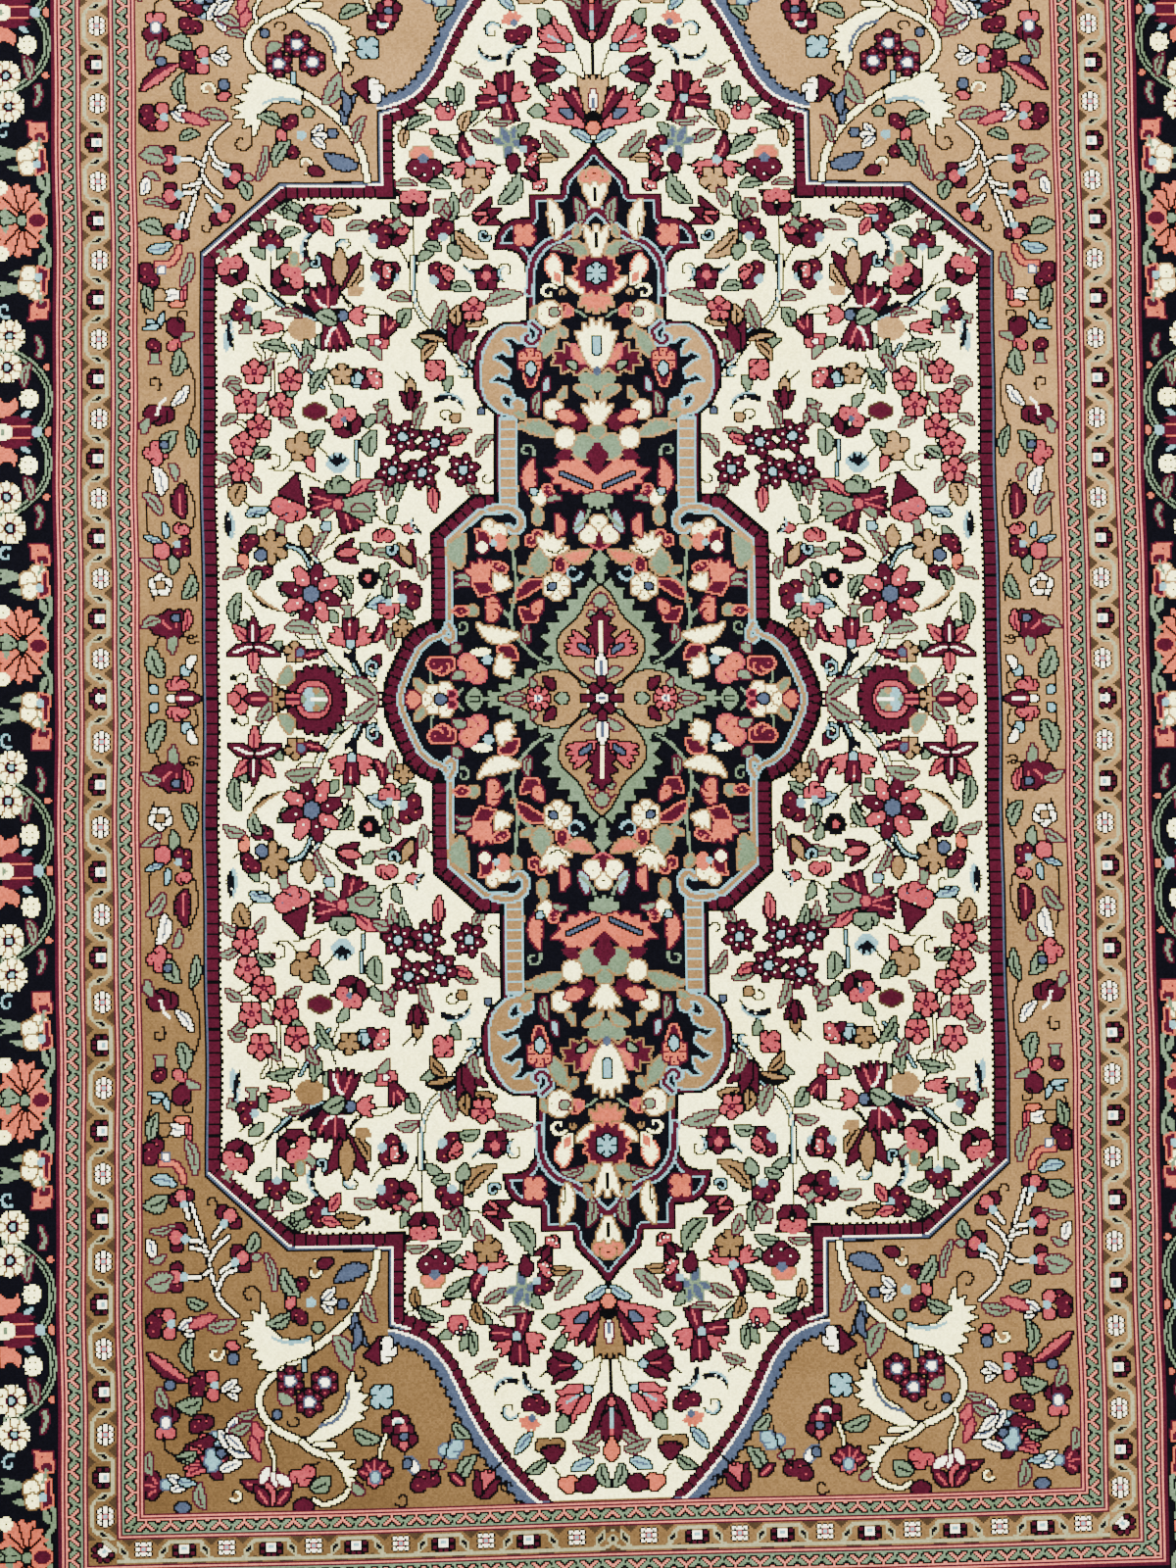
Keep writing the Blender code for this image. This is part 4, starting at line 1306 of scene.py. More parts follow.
def paint_star(s):
    """The gold four-lobed star at the medallion's centre."""
    surround = [(611, 588), (604, 594), (600, 589), (596, 601), (587, 600), (588, 611), (577, 612),
                (579, 623), (566, 624), (569, 635), (555, 634), (561, 645), (549, 648), (559, 657),
                (551, 667), (563, 669), (560, 679), (548, 675), (546, 684), (534, 680), (533, 691),
                (519, 688), (520, 698), (506, 695), (508, 705), (494, 703), (497, 711)]
    fill(s, surround + [(611, 711)], SAGE, BLACK)
    stroke(s, [(611, 566), (611, 592)], 6, SAGE, BLACK)
    fill(s, [(611, 562), (601, 571), (607, 577), (603, 584), (611, 588)], SAGE, NONE)
    leaf(s, 481, 711, 270, 17, 15, SAGE, edge=BLACK)
    thread(s, [(498, 711), (489, 711)], SAGE)
    upper = smooth([(611, 597), (603, 605), (596, 617), (589, 629), (580, 638), (570, 648), (567, 658),
                    (570, 670), (578, 681), (589, 691), (600, 697)], 4)
    side = smooth([(600, 700), (590, 701), (583, 690), (569, 684), (556, 684), (541, 689), (537, 699),
                   (522, 705), (504, 711)], 4)
    fill(s, np.vstack([upper, [(611, 705)], [(611, 711)], side[::-1], upper[-1:]]), GOLD, BLACK)
    fill(s, np.vstack([upper, [(611, 700)]]), GOLD, BLACK)
    fill(s, np.vstack([side, [(611, 711), (611, 703)]]), GOLD, BLACK)
    # upper lobe: dark red leaf between jagged rose ones, a pale flame at its foot
    thread(s, [(597, 618), (603, 613), (607, 607), (611, 604)], BURGUNDY, curve=False)
    twoleaf(s, 611, 613, 0, 13, 9)
    knot(s, 604, 620, ROSE)
    disc(s, 602, 627, 3.4, SAGE, BURGUNDY)
    fan(s, 603, 664, 292, 32, ROSE, tips=4, spread=58, depth=0.3, flat=0.95)
    leaf(s, 593, 662, 300, 15, 4, SLATE, edge=BLACK)
    blade = [(611, 622), (607, 628), (601, 630), (604, 637), (596, 641), (602, 647), (597, 654), (604, 658),
             (606, 666), (611, 672)]
    fill(s, blade, BURGUNDY, BLACK)
    thread(s, [(611, 634), (611, 664)], CREAM)
    leaf(s, 610, 679, 0, 24, 10, WHITE, edge=BLACK)
    twoleaf(s, 597, 686, 300, 16, 6)
    # side lobe: rose flower with curved leaves
    twoleaf(s, 524, 711, 270, 18, 6)
    leaf(s, 556, 697, 320, 17, 8, BURGUNDY, bend=3)
    twoleaf(s, 540, 697, 350, 12, 5)
    rosette(s, 546, 711, 12, 8, ROSE, notch=0.2, core=WHITE)
    disc(s, 546, 711, 2.6, SLATE, NONE)
    leaf(s, 570, 711, 270, 13, 6, SAGE, edge=BLACK)
    leaf(s, 570, 711, 0, 14, 6, SAGE, edge=NONE)
    # heart of the star
    for turn in range(0, 360, 45):
        px, py = point(0, 14, 611, 711, 1, turn + 22.5)
        disc(s, px, py, 2.6, CREAM, NONE)
    for turn in (0, 40, 90, 140, 180, 220, 270, 320):
        tip = 21 if turn % 90 == 0 else 17
        shape = [(0, 0), (4.2, 10), (3.2, tip), (-3.2, tip), (-4.2, 10)]
        fill(s, place(shape, 611, 711, 1, turn), BURGUNDY, BLACK)
    disc(s, 611, 711, 5.8, WHITE, BLACK, flat=0.75)
    disc(s, 611, 711, 3.2, SLATE, NONE, flat=0.75)


def paint_medallion_flowers(s):
    """Flowers of the dark medallion round the star, one quarter."""
    # stems
    for points in ([(522, 560), (524, 580), (525, 599), (521, 620), (520, 634), (526, 650), (543, 668),
                    (560, 678), (578, 688)], [(525, 599), (533, 592), (540, 586)],
                   [(520, 632), (514, 625), (508, 620)]):
        stroke(s, smooth(points), 3.2, SAGE, NONE)
    thread(s, [(436, 682), (439, 698), (447, 706)], SAGE)
    thread(s, [(470, 700), (463, 708), (452, 712)], SAGE)
    # octagon
    leaf(s, 471, 562, 10, 34, 20, SAGE, bend=-7, edge=GOLD, teeth=1)
    trefoil(s, 502, 545, 20, 15, CREAM, dot=BLACK, lobes=2, spread=90, edge=GOLD)
    fill(s, [(486, 540), (497, 544), (499, 553), (488, 553)], BURGUNDY, SALMON)
    disc(s, 510, 553, 7, SALMON, NONE, flat=1.3)
    disc(s, 503, 554, 3.4, SKY, NONE)
    disc(s, 491, 558, 5.5, CREAM, BURGUNDY)
    fan(s, 491, 593, 330, 23, SALMON, tips=5, spread=120, depth=0.25, edge=BURGUNDY)
    trefoil(s, 507, 582, 20, 9, BURGUNDY, dot=ROSE, lobes=2, spread=80, edge=SALMON)
    fill(s, [(481, 594), (496, 593), (502, 603), (488, 606)], BURGUNDY, SALMON)
    fan(s, 507, 598, 30, 14, CREAM, tips=4, spread=130, depth=0.35, edge=GOLD)
    twoleaf(s, 470, 590, 280, 16, 4)
    twoleaf(s, 471, 597, 265, 14, 4)
    trefoil(s, 496, 621, 90, 14, SALMON, dot=BLACK, edge=BURGUNDY)
    leaf(s, 480, 622, 270, 12, 9, SAGE, edge=GOLD)
    bud(s, 469, 622, 270, 8, BURGUNDY, edge=SALMON, dot=SALMON)
    curl(s, 470, 638, 7, 200, -300, SAGE, width=3)
    leaf(s, 506, 641, 285, 44, 16, CREAM, bend=-7, edge=GOLD, teeth=1)
    leaf(s, 523, 553, 25, 13, 8, SAGE, edge=GOLD)
    trefoil(s, 448, 671, 180, 15, BURGUNDY, dot=ROSE, edge=SALMON)
    twoleaf(s, 464, 661, 60, 12, 7)
    leaf(s, 488, 664, 265, 24, 9, CREAM, edge=NONE, teeth=1)
    leaf(s, 515, 666, 300, 22, 12, BURGUNDY, bend=3, edge=SALMON)
    trefoil(s, 484, 677, 230, 18, SALMON, dot=BLACK, edge=ROSE)
    fan(s, 507, 682, 60, 16, CREAM, tips=4, spread=140, depth=0.35, edge=GOLD)
    disc(s, 495, 672, 5, SKY, NONE)
    twoleaf(s, 466, 689, 250, 14, 7)
    for a, b in ((439, 703), (431, 711), (452, 700)):
        disc(s, a, b, 6, CREAM, GOLD)
        knot(s, a, b, BURGUNDY)
    leaf(s, 426, 697, 320, 15, 7, SAGE, edge=GOLD)
    fan(s, 424, 711, 270, 13, SALMON, tips=4, spread=120, depth=0.25, edge=BURGUNDY)
    disc(s, 458, 706, 4, BURGUNDY, ROSE)
    disc(s, 447, 711, 6, SLATE, NAVY, flat=0.8)
    # beside the star
    leaf(s, 549, 574, 0, 26, 22, SAGE, edge=GOLD, teeth=1)
    trefoil(s, 547, 553, 330, 11, BURGUNDY, dot=SALMON, lobes=2, spread=90, edge=SALMON)
    fan(s, 560, 563, 20, 19, CREAM, tips=5, spread=150, depth=0.35, edge=GOLD)
    trefoil(s, 567, 573, 120, 12, BURGUNDY, dot=SALMON, lobes=2, edge=SALMON)
    leaf(s, 588, 565, 80, 26, 13, SALMON, bend=4, edge=GOLD, teeth=1)
    thread(s, [(557, 562), (566, 564), (574, 560)], BLACK)
    curl(s, 583, 584, 9, 100, 300, SKY, width=3)
    leaf(s, 540, 602, 60, 34, 12, BURGUNDY, bend=-4, edge=SALMON, teeth=1)
    rosette(s, 566, 598, 13.5, 6, CREAM, notch=0.2, edge=GOLD, dots=BLACK)
    disc(s, 562, 598, 3.6, SLATE, BLACK)
    fill(s, [(528, 620), (541, 622), (548, 632), (534, 634)], BURGUNDY, SALMON)
    bud(s, 546, 620, 30, 10, SALMON, edge=BURGUNDY, dot=BLACK)
    twoleaf(s, 537, 646, 0, 18, 6)
    # middle line, from the star up
    fan(s, 611, 556, 0, 16, BURGUNDY, tips=5, spread=170, depth=0.4, edge=ROSE)
    for a, b in ((611, 536), (600, 546)):
        disc(s, a, b, 8.5, CREAM, GOLD)
        knot(s, a, b - 1, BLACK)
    leaf(s, 611, 552, 0, 20, 8, BURGUNDY, edge=NONE)
    leaf(s, 590, 533, 15, 24, 9, SKY, bend=2, edge=BURGUNDY)
    leaf(s, 568, 537, 0, 24, 12, SALMON, bend=4, edge=BURGUNDY, teeth=1)
    stroke(s, smooth([(611, 510), (603, 520), (597, 531), (586, 540)]), 3, SAGE, NONE)
    fan(s, 611, 500, 180, 22, SAGE, tips=5, spread=120, depth=0.25, edge=BLACK)
    wing = [(611, 500), (598, 505), (596, 500), (586, 505), (585, 499), (575, 501), (574, 495), (565, 494),
            (567, 488), (557, 480), (570, 478), (575, 470), (584, 472), (592, 468), (598, 476), (611, 486)]
    fill(s, wing, SALMON, BURGUNDY)
    stroke(s, [(574, 484), (590, 491), (604, 497)], 3.4, SLATE, BLACK)
    for a, b, r in ((611, 443, 8.5), (597, 457, 12)):
        disc(s, a, b, r, SAGE, GOLD)
    fill(s, [(611, 447), (598, 461), (611, 476)], SAGE, NONE)
    fill(s, [(611, 452), (606, 462), (601, 466), (606, 472), (611, 485)], BURGUNDY, BURGUNDY)
    disc(s, 592, 432, 8.5, BURGUNDY, BLACK)
    disc(s, 603, 428, 5, BURGUNDY, NONE)
    fan(s, 611, 430, 0, 21, CREAM, tips=5, spread=110, depth=0.3, edge=GOLD)
    disc(s, 578, 448, 9.5, CREAM, GOLD)
    leaf(s, 577, 465, 250, 20, 12, BURGUNDY, edge=NONE, teeth=1)
    disc(s, 566, 419, 9, CREAM, GOLD)
    knot(s, 564, 419, BLACK)
    leaf(s, 580, 426, 110, 22, 13, SALMON, edge=BURGUNDY)
    leaf(s, 549, 441, 285, 40, 15, SAGE, bend=4, edge=GOLD, teeth=1)
    curl(s, 539, 461, 8, 120, -320, SAGE, width=3)
    leaf(s, 545, 488, 0, 38, 15, SALMON, bend=-4, edge=BURGUNDY, teeth=1)
    fan(s, 552, 512, 0, 12, CREAM, tips=3, spread=140, depth=0.3, edge=GOLD)
    trefoil(s, 557, 503, 70, 8, BURGUNDY, dot=ROSE, lobes=2, edge=SALMON)
    disc(s, 546, 502, 3.4, SKY, BLACK)
    twoleaf(s, 567, 511, 80, 15, 4)
    leaf(s, 549, 527, 0, 18, 9, SAGE, edge=GOLD)
    # neck
    fill(s, [(611, 382), (590, 382), (596, 397), (611, 401)], SAGE, BLACK)
    jag = [(608, 384), (600, 376), (590, 384), (585, 377), (574, 382), (575, 374), (564, 374), (570, 367),
           (566, 360), (578, 361), (579, 352), (588, 359), (598, 362), (608, 374)]
    fill(s, jag, BURGUNDY, GOLD)
    leaf(s, 591, 363, 330, 22, 9, SALMON, edge=ROSE, teeth=1)
    leaf(s, 585, 375, 305, 12, 5, SAGE, edge=BLACK)
    crown = [(611, 382), (603, 372), (597, 362), (594, 350), (590, 340), (597, 341), (598, 332), (604, 338),
             (606, 327), (611, 336)]
    fill(s, crown, CREAM, GOLD)
    fill(s, [(607, 346), (611, 344), (611, 364), (607, 362)], SKY, BLACK)
    disc(s, 611, 380, 4.5, SLATE, NONE)
    leaf(s, 562, 351, 30, 32, 15, SAGE, edge=GOLD, teeth=1)
    fan(s, 543, 391, 0, 14, BURGUNDY, tips=3, spread=90, depth=0.4, edge=SALMON)
    rosette(s, 543, 369, 13, 6, SALMON, notch=0.2, edge=BURGUNDY, dots=BLACK)
    leaf(s, 543, 377, 0, 15, 9, SKY, edge=BLACK)
    leaf(s, 559, 394, 10, 15, 6, SKY, edge=BURGUNDY)
    twoleaf(s, 551, 412, 10, 20, 7)
    thread(s, [(600, 324), (590, 318), (580, 316)], SAGE)
    bud(s, 578, 318, 285, 10, BURGUNDY, edge=SALMON, base=ROSE)
    disc(s, 563, 321, 12, CREAM, GOLD)
    for a, b in ((560, 314), (555, 322), (562, 329)):
        knot(s, a, b, BLACK)
    disc(s, 568, 320, 4.4, SAGE, BURGUNDY)
    fan(s, 611, 298, 180, 24, SALMON, tips=5, spread=120, depth=0.3, edge=GOLD)
    leaf(s, 593, 293, 300, 32, 14, CREAM, edge=GOLD, teeth=1)
    thread(s, [(605, 300), (597, 295)], BLACK)
    polar(s, 611, 280, lambda a: 20.5 + 2.2 * np.cos(14 * a), BURGUNDY, SALMON)
    rosette(s, 611, 280, 11, 6, SKY, notch=0.3, edge=BLACK)
    leaf(s, 567, 272, 0, 22, 17, CREAM, edge=SALMON, teeth=1)
    leaf(s, 571, 284, 330, 14, 8, SALMON, edge=CREAM)
    curl(s, 562, 299, 8.5, 60, -330, CREAM, width=3.2)
    leaf(s, 591, 254, 300, 26, 13, SAGE, edge=GOLD, teeth=1)
    twoleaf(s, 576, 257, 280, 20, 5)
    fan(s, 611, 256, 0, 28, CREAM, tips=3, spread=80, depth=0.42, edge=GOLD)
    thread(s, [(611, 238), (611, 254)], BLACK)
    # pendant
    twoleaf(s, 592, 216, 350, 26, 9)
    leaf(s, 567, 224, 350, 42, 15, CREAM, bend=3, edge=GOLD, teeth=1)
    thread(s, [(568, 240), (569, 232), (566, 224)], BLACK)
    trefoil(s, 537, 240, 0, 13, SALMON, dot=BLACK, edge=BURGUNDY, lobes=4, spread=90)
    disc(s, 537, 240, 8, SALMON, NONE)
    trefoil(s, 611, 187, 0, 17, SALMON, dot=BLACK, edge=GOLD)
    fan(s, 611, 206, 0, 22, CREAM, tips=3, spread=90, depth=0.3, edge=GOLD)
    thread(s, [(611, 192), (611, 205)], BLACK)
    # small leaves and twigs between the flowers
    for x, y, heading, length in ((597, 402, 300, 22), (575, 402, 30, 14), (531, 425, 300, 14),
                                  (534, 583, 300, 13), (590, 236, 20, 14), (575, 340, 330, 14),
                                  (548, 320, 200, 12), (513, 703, 250, 13), (578, 640, 330, 10)):
        leaf(s, x, y, heading, length, 0.4 * length, SAGE, bend=0.12 * length, edge=GOLD)
    for x, y, heading in ((540, 432, 210), (527, 500, 20), (462, 577, 190), (521, 612, 60),
                          (577, 300, 240)):
        curl(s, x, y, 4, heading, 250, GOLD)


def paint_all(s):
    """Everything inside the borders, one quarter."""
    paint_field(s)
    paint_field_flowers(s)
    paint_medallion(s)
    paint_medallion_flowers(s)
    paint_star(s)
    paint_side_band(s)
    paint_corner(s)


# the dark border's centre line, from the palmette's middle to the next, and the first one's place
BORDER_LINE = -4.4
SIDE_PITCH = 216.5
FIRST_BURGUNDY = 8.0


def burgundy_palmette(s, spot, head, scale):
    """A quarter of the burgundy palmette: vine, rosettes, salmon petal and blunt petals, a pale heart."""
    vine = [spot(a, w) for a, w in ((3, 44), (12, 50), (26, 54), (44, 53), (60, 45), (72, 33), (80, 20),
                                    (84, 6))]
    stroke(s, smooth(vine, 4), 6.5 * scale, SAGE, BLACK)
    thread(s, vine, BLACK)
    leaf(s, *spot(58, 32), head(75), 22 * scale, 7 * scale, SAGE, edge=BURGUNDY)
    sprig = [spot(a, w) for a, w in ((78, 44), (86, 46), (96, 42))]
    stroke(s, smooth(sprig, 3), 5 * scale, SAGE, BURGUNDY, taper=0.5)
    disc(s, *spot(66, 52), 3.2 * scale, SALMON, NONE)
    x, y = spot(34, 34)
    rosette(s, x, y, 9.5 * scale, 4, CREAM, notch=0.18, edge=NONE)
    for a, w in ((31, 31), (37, 37), (31, 37), (37, 31)):
        knot(s, *spot(a, w), BLACK)
    for a, w in ((66, 11), (98, 14)):
        x, y = spot(a, w)
        rosette(s, x, y, 15.5 * scale, 8, CREAM, notch=0.16, edge=NONE)
        for k in range(8):
            t = math.pi * (k + 0.5) / 4
            thread(s, [(x + 6 * scale * math.sin(t), y - 6 * scale * math.cos(t)),
                       (x + 14 * scale * math.sin(t), y - 14 * scale * math.cos(t))], GOLD, curve=False)
        disc(s, x, y, 6.6 * scale, BURGUNDY, NONE)
        disc(s, x, y, 5.0 * scale, CREAM, NONE)
        disc(s, x, y, 3.0 * scale, SKY, BLACK)
    petal = [spot(a, w) for a, w in ((14, 2), (16, 14), (24, 22), (36, 20), (31, 16), (29, 8), (36, 2),
                                     (24, 0))]
    fill(s, petal, SALMON, NONE)
    for a, w, length in ((4, 26, 40), (12, 22, 32)):
        x, y = spot(a, w)
        leaf(s, x, y, head(0), length * scale, 9 * scale, BURGUNDY, edge=NONE)
    blunt = [spot(a, w) for a, w in ((0, 6), (0, 38), (4, 38), (3, 34), (9, 36), (8, 31), (15, 33),
                                     (12, 26), (17, 22), (17, 10), (12, 4))]
    fill(s, blunt, BURGUNDY, NONE)
    thread(s, [spot(6, 14), spot(6, 34)], SALMON, curve=False)
    leaf(s, *spot(18, 30), head(30), 12 * scale, 5 * scale, SKY, edge=NONE)
    disc(s, *spot(0, 42), 5.4 * scale, SKY, NONE)
    trefoil(s, *spot(0, 55), head(180), 5.5 * scale, SALMON, edge=NONE)
    disc(s, *spot(0, 6), 11 * scale, CREAM, NONE, flat=0.75)
    disc(s, *spot(0, 6), 3.5 * scale, SAGE, NONE)


def salmon_palmette(s, spot, head, scale):
    """A quarter of the salmon palmette: vine, cream tulip, dotted bud and curl, jagged petals."""
    vine = [spot(a, w) for a, w in ((9, 50), (20, 47), (30, 53), (44, 54), (52, 50))]
    stroke(s, smooth(vine, 4), 5 * scale, SAGE, BLACK)
    leaf(s, *spot(40, 46), head(110), 18 * scale, 7 * scale, SAGE, edge=NONE)
    # cream tulip group
    fan(s, *spot(70, 18), head(180), 20 * scale, SAGE, tips=3, spread=70, depth=0.4, edge=NONE)
    leaf(s, *spot(54, 22), head(170), 22 * scale, 6 * scale, SAGE, edge=NONE)
    for a, w, r in ((73, 41, 7.5), (67, 31, 7.5), (55, 33, 7)):
        disc(s, *spot(a, w), r * scale, CREAM, GOLD)
        knot(s, *spot(a, w), BLACK)
    elbow = [spot(a, w) for a, w in ((74, 50), (52, 52), (48, 42), (53, 42), (56, 47), (72, 46))]
    fill(s, elbow, BURGUNDY, SALMON)
    disc(s, *spot(58, 43), 4.2 * scale, SKY, NONE)
    # dotted bud and curl
    shape = [spot(a, w) for a, w in ((102, 34), (101, 52), (86, 54), (84, 42), (88, 36))]
    fill(s, shape, SALMON, BURGUNDY)
    knot(s, *spot(96, 42), BURGUNDY)
    shape = [spot(a, w) for a, w in ((90, 41), (91, 51), (83, 52), (82, 42))]
    fill(s, shape, BURGUNDY, SALMON)
    stroke(s, smooth([spot(a, w) for a, w in ((84, 46), (76, 44), (72, 42))], 3), 3.2 * scale, SAGE, NONE)
    x, y = spot(92, 9)
    curl(s, x, y, 8 * scale, head(60), 5 * (head(60) - head(0)), SKY, width=3 * scale)
    # jagged salmon palmette
    ring = [(0, 46), (6, 44), (7, 50), (13, 42), (17, 48), (22, 40), (28, 44), (28, 34), (37, 35), (33, 26),
            (40, 22), (33, 17), (38, 10), (28, 8), (27, 2), (18, 4), (14, 0), (0, 0)]
    fill(s, [spot(a, w) for a, w in ring], SALMON, NONE)
    for a, w in ((30, 32), (33, 18), (19, 40), (24, 8)):
        thread(s, [spot(5, 26), spot(a, w)], BLACK, curve=False)
    leaf(s, *spot(0, 9), head(0), 22 * scale, 12 * scale, SAGE, edge=BLACK)
    leaf(s, *spot(7, 9), head(90), 14 * scale, 7 * scale, SAGE, edge=NONE)
    disc(s, *spot(0, 26), 5 * scale, SAGE, BLACK)
    disc(s, *spot(0, 42), 8.5 * scale, BURGUNDY, SALMON, flat=0.8)
    disc(s, *spot(34, 5), 7 * scale, CREAM, NONE)
    knot(s, *spot(34, 5), BLACK)


def border_flower(s, spot, turn, scale, palmette):
    """One palmette of the dark border with half of what lies on each side of it."""
    for across_way in (1, -1):
        for along_way in (1, -1):

            def quarter_spot(along, across):
                return spot(along_way * along, across_way * across)

            def head(h):
                h = along_way * h
                return turn + (h if across_way > 0 else 180 - h)

            palmette(s, quarter_spot, head, scale)


def paint_main_border(half):
    """The dark border of burgundy and salmon palmettes in turn, a great one at each corner."""
    rows, columns = half.cells.shape
    r, c = np.meshgrid(np.arange(rows) + half.low, np.arange(columns), indexing="ij")
    up = np.where(r >= 0, r, -1 - r)
    depth = np.maximum(c - FIELD_COLUMNS, up - FIELD_ROWS)
    keep = half.cells.copy()
    band = (depth >= GUARD) & (depth < GUARD + MAIN)
    half.cells[band] = NAVY
    reach = (FIELD_ROWS + GUARD + 0.5 * MAIN) * STEP_Y
    # sides: palmettes at an even pitch, not centred on the rug's own middle
    kinds = (burgundy_palmette, salmon_palmette)
    for k in range(-1, 9):
        y = FIRST_BURGUNDY + SIDE_PITCH * k
        if abs(MIDDLE_Y - y) <= reach - 40:
            border_flower(half, lambda a, w: (BORDER_LINE + w, y + a), 90, 1.0, kinds[k % 2])
    # ends: turned a quarter, squeezed by the knots' own shape
    pitch = (MIDDLE_X - BORDER_LINE) / 3
    squeeze = STEP_Y / STEP_X
    for end, heading in ((-1, 180), (1, 0)):
        line = MIDDLE_Y + end * reach

        def end_spot(along, across):
            return x + end * along * pitch / SIDE_PITCH, line - end * across * squeeze

        for k in range(3):
            x = MIDDLE_X - pitch * k
            border_flower(half, end_spot, heading, 0.92, kinds[k % 2])
        # corner flower on the diagonal
        cx, cy = BORDER_LINE, line
        inward = 135 if end < 0 else 45
        ground = [(cx + 40 * a, cy + 34 * b) for a, b in ((-1, -1), (1, -1), (1, 1), (-1, 1))]
        fill(half, ground, NAVY, NONE)
        for h in (inward + 90, inward - 90):
            leaf(half, *toward(cx, cy, h, 30), h, 30, 12, SAGE, edge=NONE, teeth=1)
        for h in (inward, inward + 180):
            fan(half, cx, cy, h, 42, SALMON, tips=5, spread=100, depth=0.25, edge=NONE, rays=BLACK)
        rosette(half, cx, cy, 17, 8, BURGUNDY, notch=0.25, edge=SALMON)
        rosette(half, cx, cy, 9, 8, CREAM, notch=0.2, edge=NONE)
        disc(half, cx, cy, 3.4, SKY, BLACK)
    half.cells[~band] = keep[~band]


# The rug itself, in metres. Its middle is the frame's origin and its pile stands on the floor.
PILE_WIDE, PILE_LONG, PILE_HIGH = 1.387, 1.910, 0.009
EDGE_ROUND = 0.0025
LAYER_GAP = 0.0003
# the rows below the middle are taller than those above it
LOWER_STRETCH = 1.038
KNOT_WIDE = 0.5 * PILE_WIDE / COLUMNS
ROW_UP = PILE_LONG / (ROWS * (1 + LOWER_STRETCH))
ROW_DOWN = LOWER_STRETCH * ROW_UP
WEAVE_MIDDLE = 0.5 * PILE_LONG - ROWS * ROW_UP
# how the cloth has given: slack rows near the middle, a lean, and a skew that peaks in the lower half
SLACK_MIDDLE = 0.0145
LEAN = 0.0087
SKEW, SKEW_PEAK = 0.0210, 0.745
# small waves of the columns and rows: height, rate and start
# they fade out in a share of the half width and length
COLUMN_WAVES = ((0.0006, 17.0, 0.6), (0.0004, 41.0, 2.0))
ROW_WAVE = (0.0006, 13.0, 1.1)
WAVE_FADE_SIDE, WAVE_FADE_END = 0.12, 0.1
# the pile side and the back lie side by side in the flat map
MAP_WIDE, MAP_TOP, MAP_BACK = 0.496, 0.002, 0.502
# a face spans at most this many knots, and a block of the back so many knots each way
BLOCK = 16
BACK_STEP = 2


def knot_places(columns, rows):
    """Metres of knot corners: columns to the right of the middle line, rows above the middle row."""
    half_wide = 0.5 * PILE_WIDE
    x = columns * KNOT_WIDE
    up = rows >= 0
    reach = np.abs(rows) / ROWS
    slack = 1 + SLACK_MIDDLE * (1 - reach**2)
    y = WEAVE_MIDDLE + rows * np.where(up, ROW_UP, ROW_DOWN) * slack
    rise = np.clip(reach / SKEW_PEAK, 0, 1)
    fall = np.clip((1 - reach) / (1 - SKEW_PEAK), 0, 1)
    settle = fall * fall * (3 - 2 * fall)
    y = y + x / half_wide * settle * (np.where(up, 0.0, SKEW) * rise - LEAN)
    fade = np.clip(1 - np.abs(x) / half_wide, 0, WAVE_FADE_SIDE) / WAVE_FADE_SIDE
    for height, rate, start in COLUMN_WAVES:
        x = x + height * fade * np.sin(y * rate + start)
    fade = np.clip(1 - reach, 0, WAVE_FADE_END) / WAVE_FADE_END
    height, rate, start = ROW_WAVE
    y = y + height * fade * np.sin(x * rate + start)
    return x, y


def pile_top(columns, rows):
    """Height of the pile, rounded over along all four edges."""
    inward = np.minimum((COLUMNS - np.abs(columns)) * KNOT_WIDE, (ROWS - np.abs(rows)) * ROW_UP)
    drop = np.clip(EDGE_ROUND - inward, 0, EDGE_ROUND)
    return PILE_HIGH - EDGE_ROUND + np.sqrt(np.maximum(EDGE_ROUND**2 - drop**2, 0))


def rectangles(cells, step):
    """Joins equal knots into blocks: arrays of left, right, low, high and yarn, in steps."""
    rows, columns = cells.shape
    rim = (1, 2, columns - 2, columns - 1) if step == 1 else ()
    rim_rows = (1, 2, rows - 2, rows - 1) if step == 1 else ()
    forced = np.zeros(columns + 1, bool)
    forced[::BLOCK] = True
    forced[list(rim)] = True
    done, waiting = [], {}
    for r in range(rows):
        row = cells[r]
        cut = np.ones(columns + 1, bool)
        cut[1:-1] = row[1:] != row[:-1]
        edges = np.flatnonzero(cut | forced)
        runs = set(zip(edges[:-1].tolist(), edges[1:].tolist(), row[edges[:-1]].tolist()))
        fresh = {}
        stop = r % BLOCK == 0 or r in rim_rows
        for run in runs:
            fresh[run] = r if stop else waiting.pop(run, r)
        done.extend((a, b, low, r, y) for (a, b, y), low in waiting.items())
        waiting = fresh
    done.extend((a, b, low, rows, y) for (a, b, y), low in waiting.items())
    return np.array(done)


def yarn_faces(cells, step, under):
    """Corner columns and rows of the faces of every yarn, for one side of the rug, and each face's yarn."""
    found = rectangles(cells, step)
    left, right, low, high = (found[:, i] * step for i in range(4))
    columns = np.column_stack([left, right, right, left]) - COLUMNS
    rows = np.column_stack([low, low, high, high]) - ROWS
    if under:
        columns, rows = columns[:, ::-1], rows[:, ::-1]
    return columns, rows, np.full(columns.shape, under), found[:, 4]


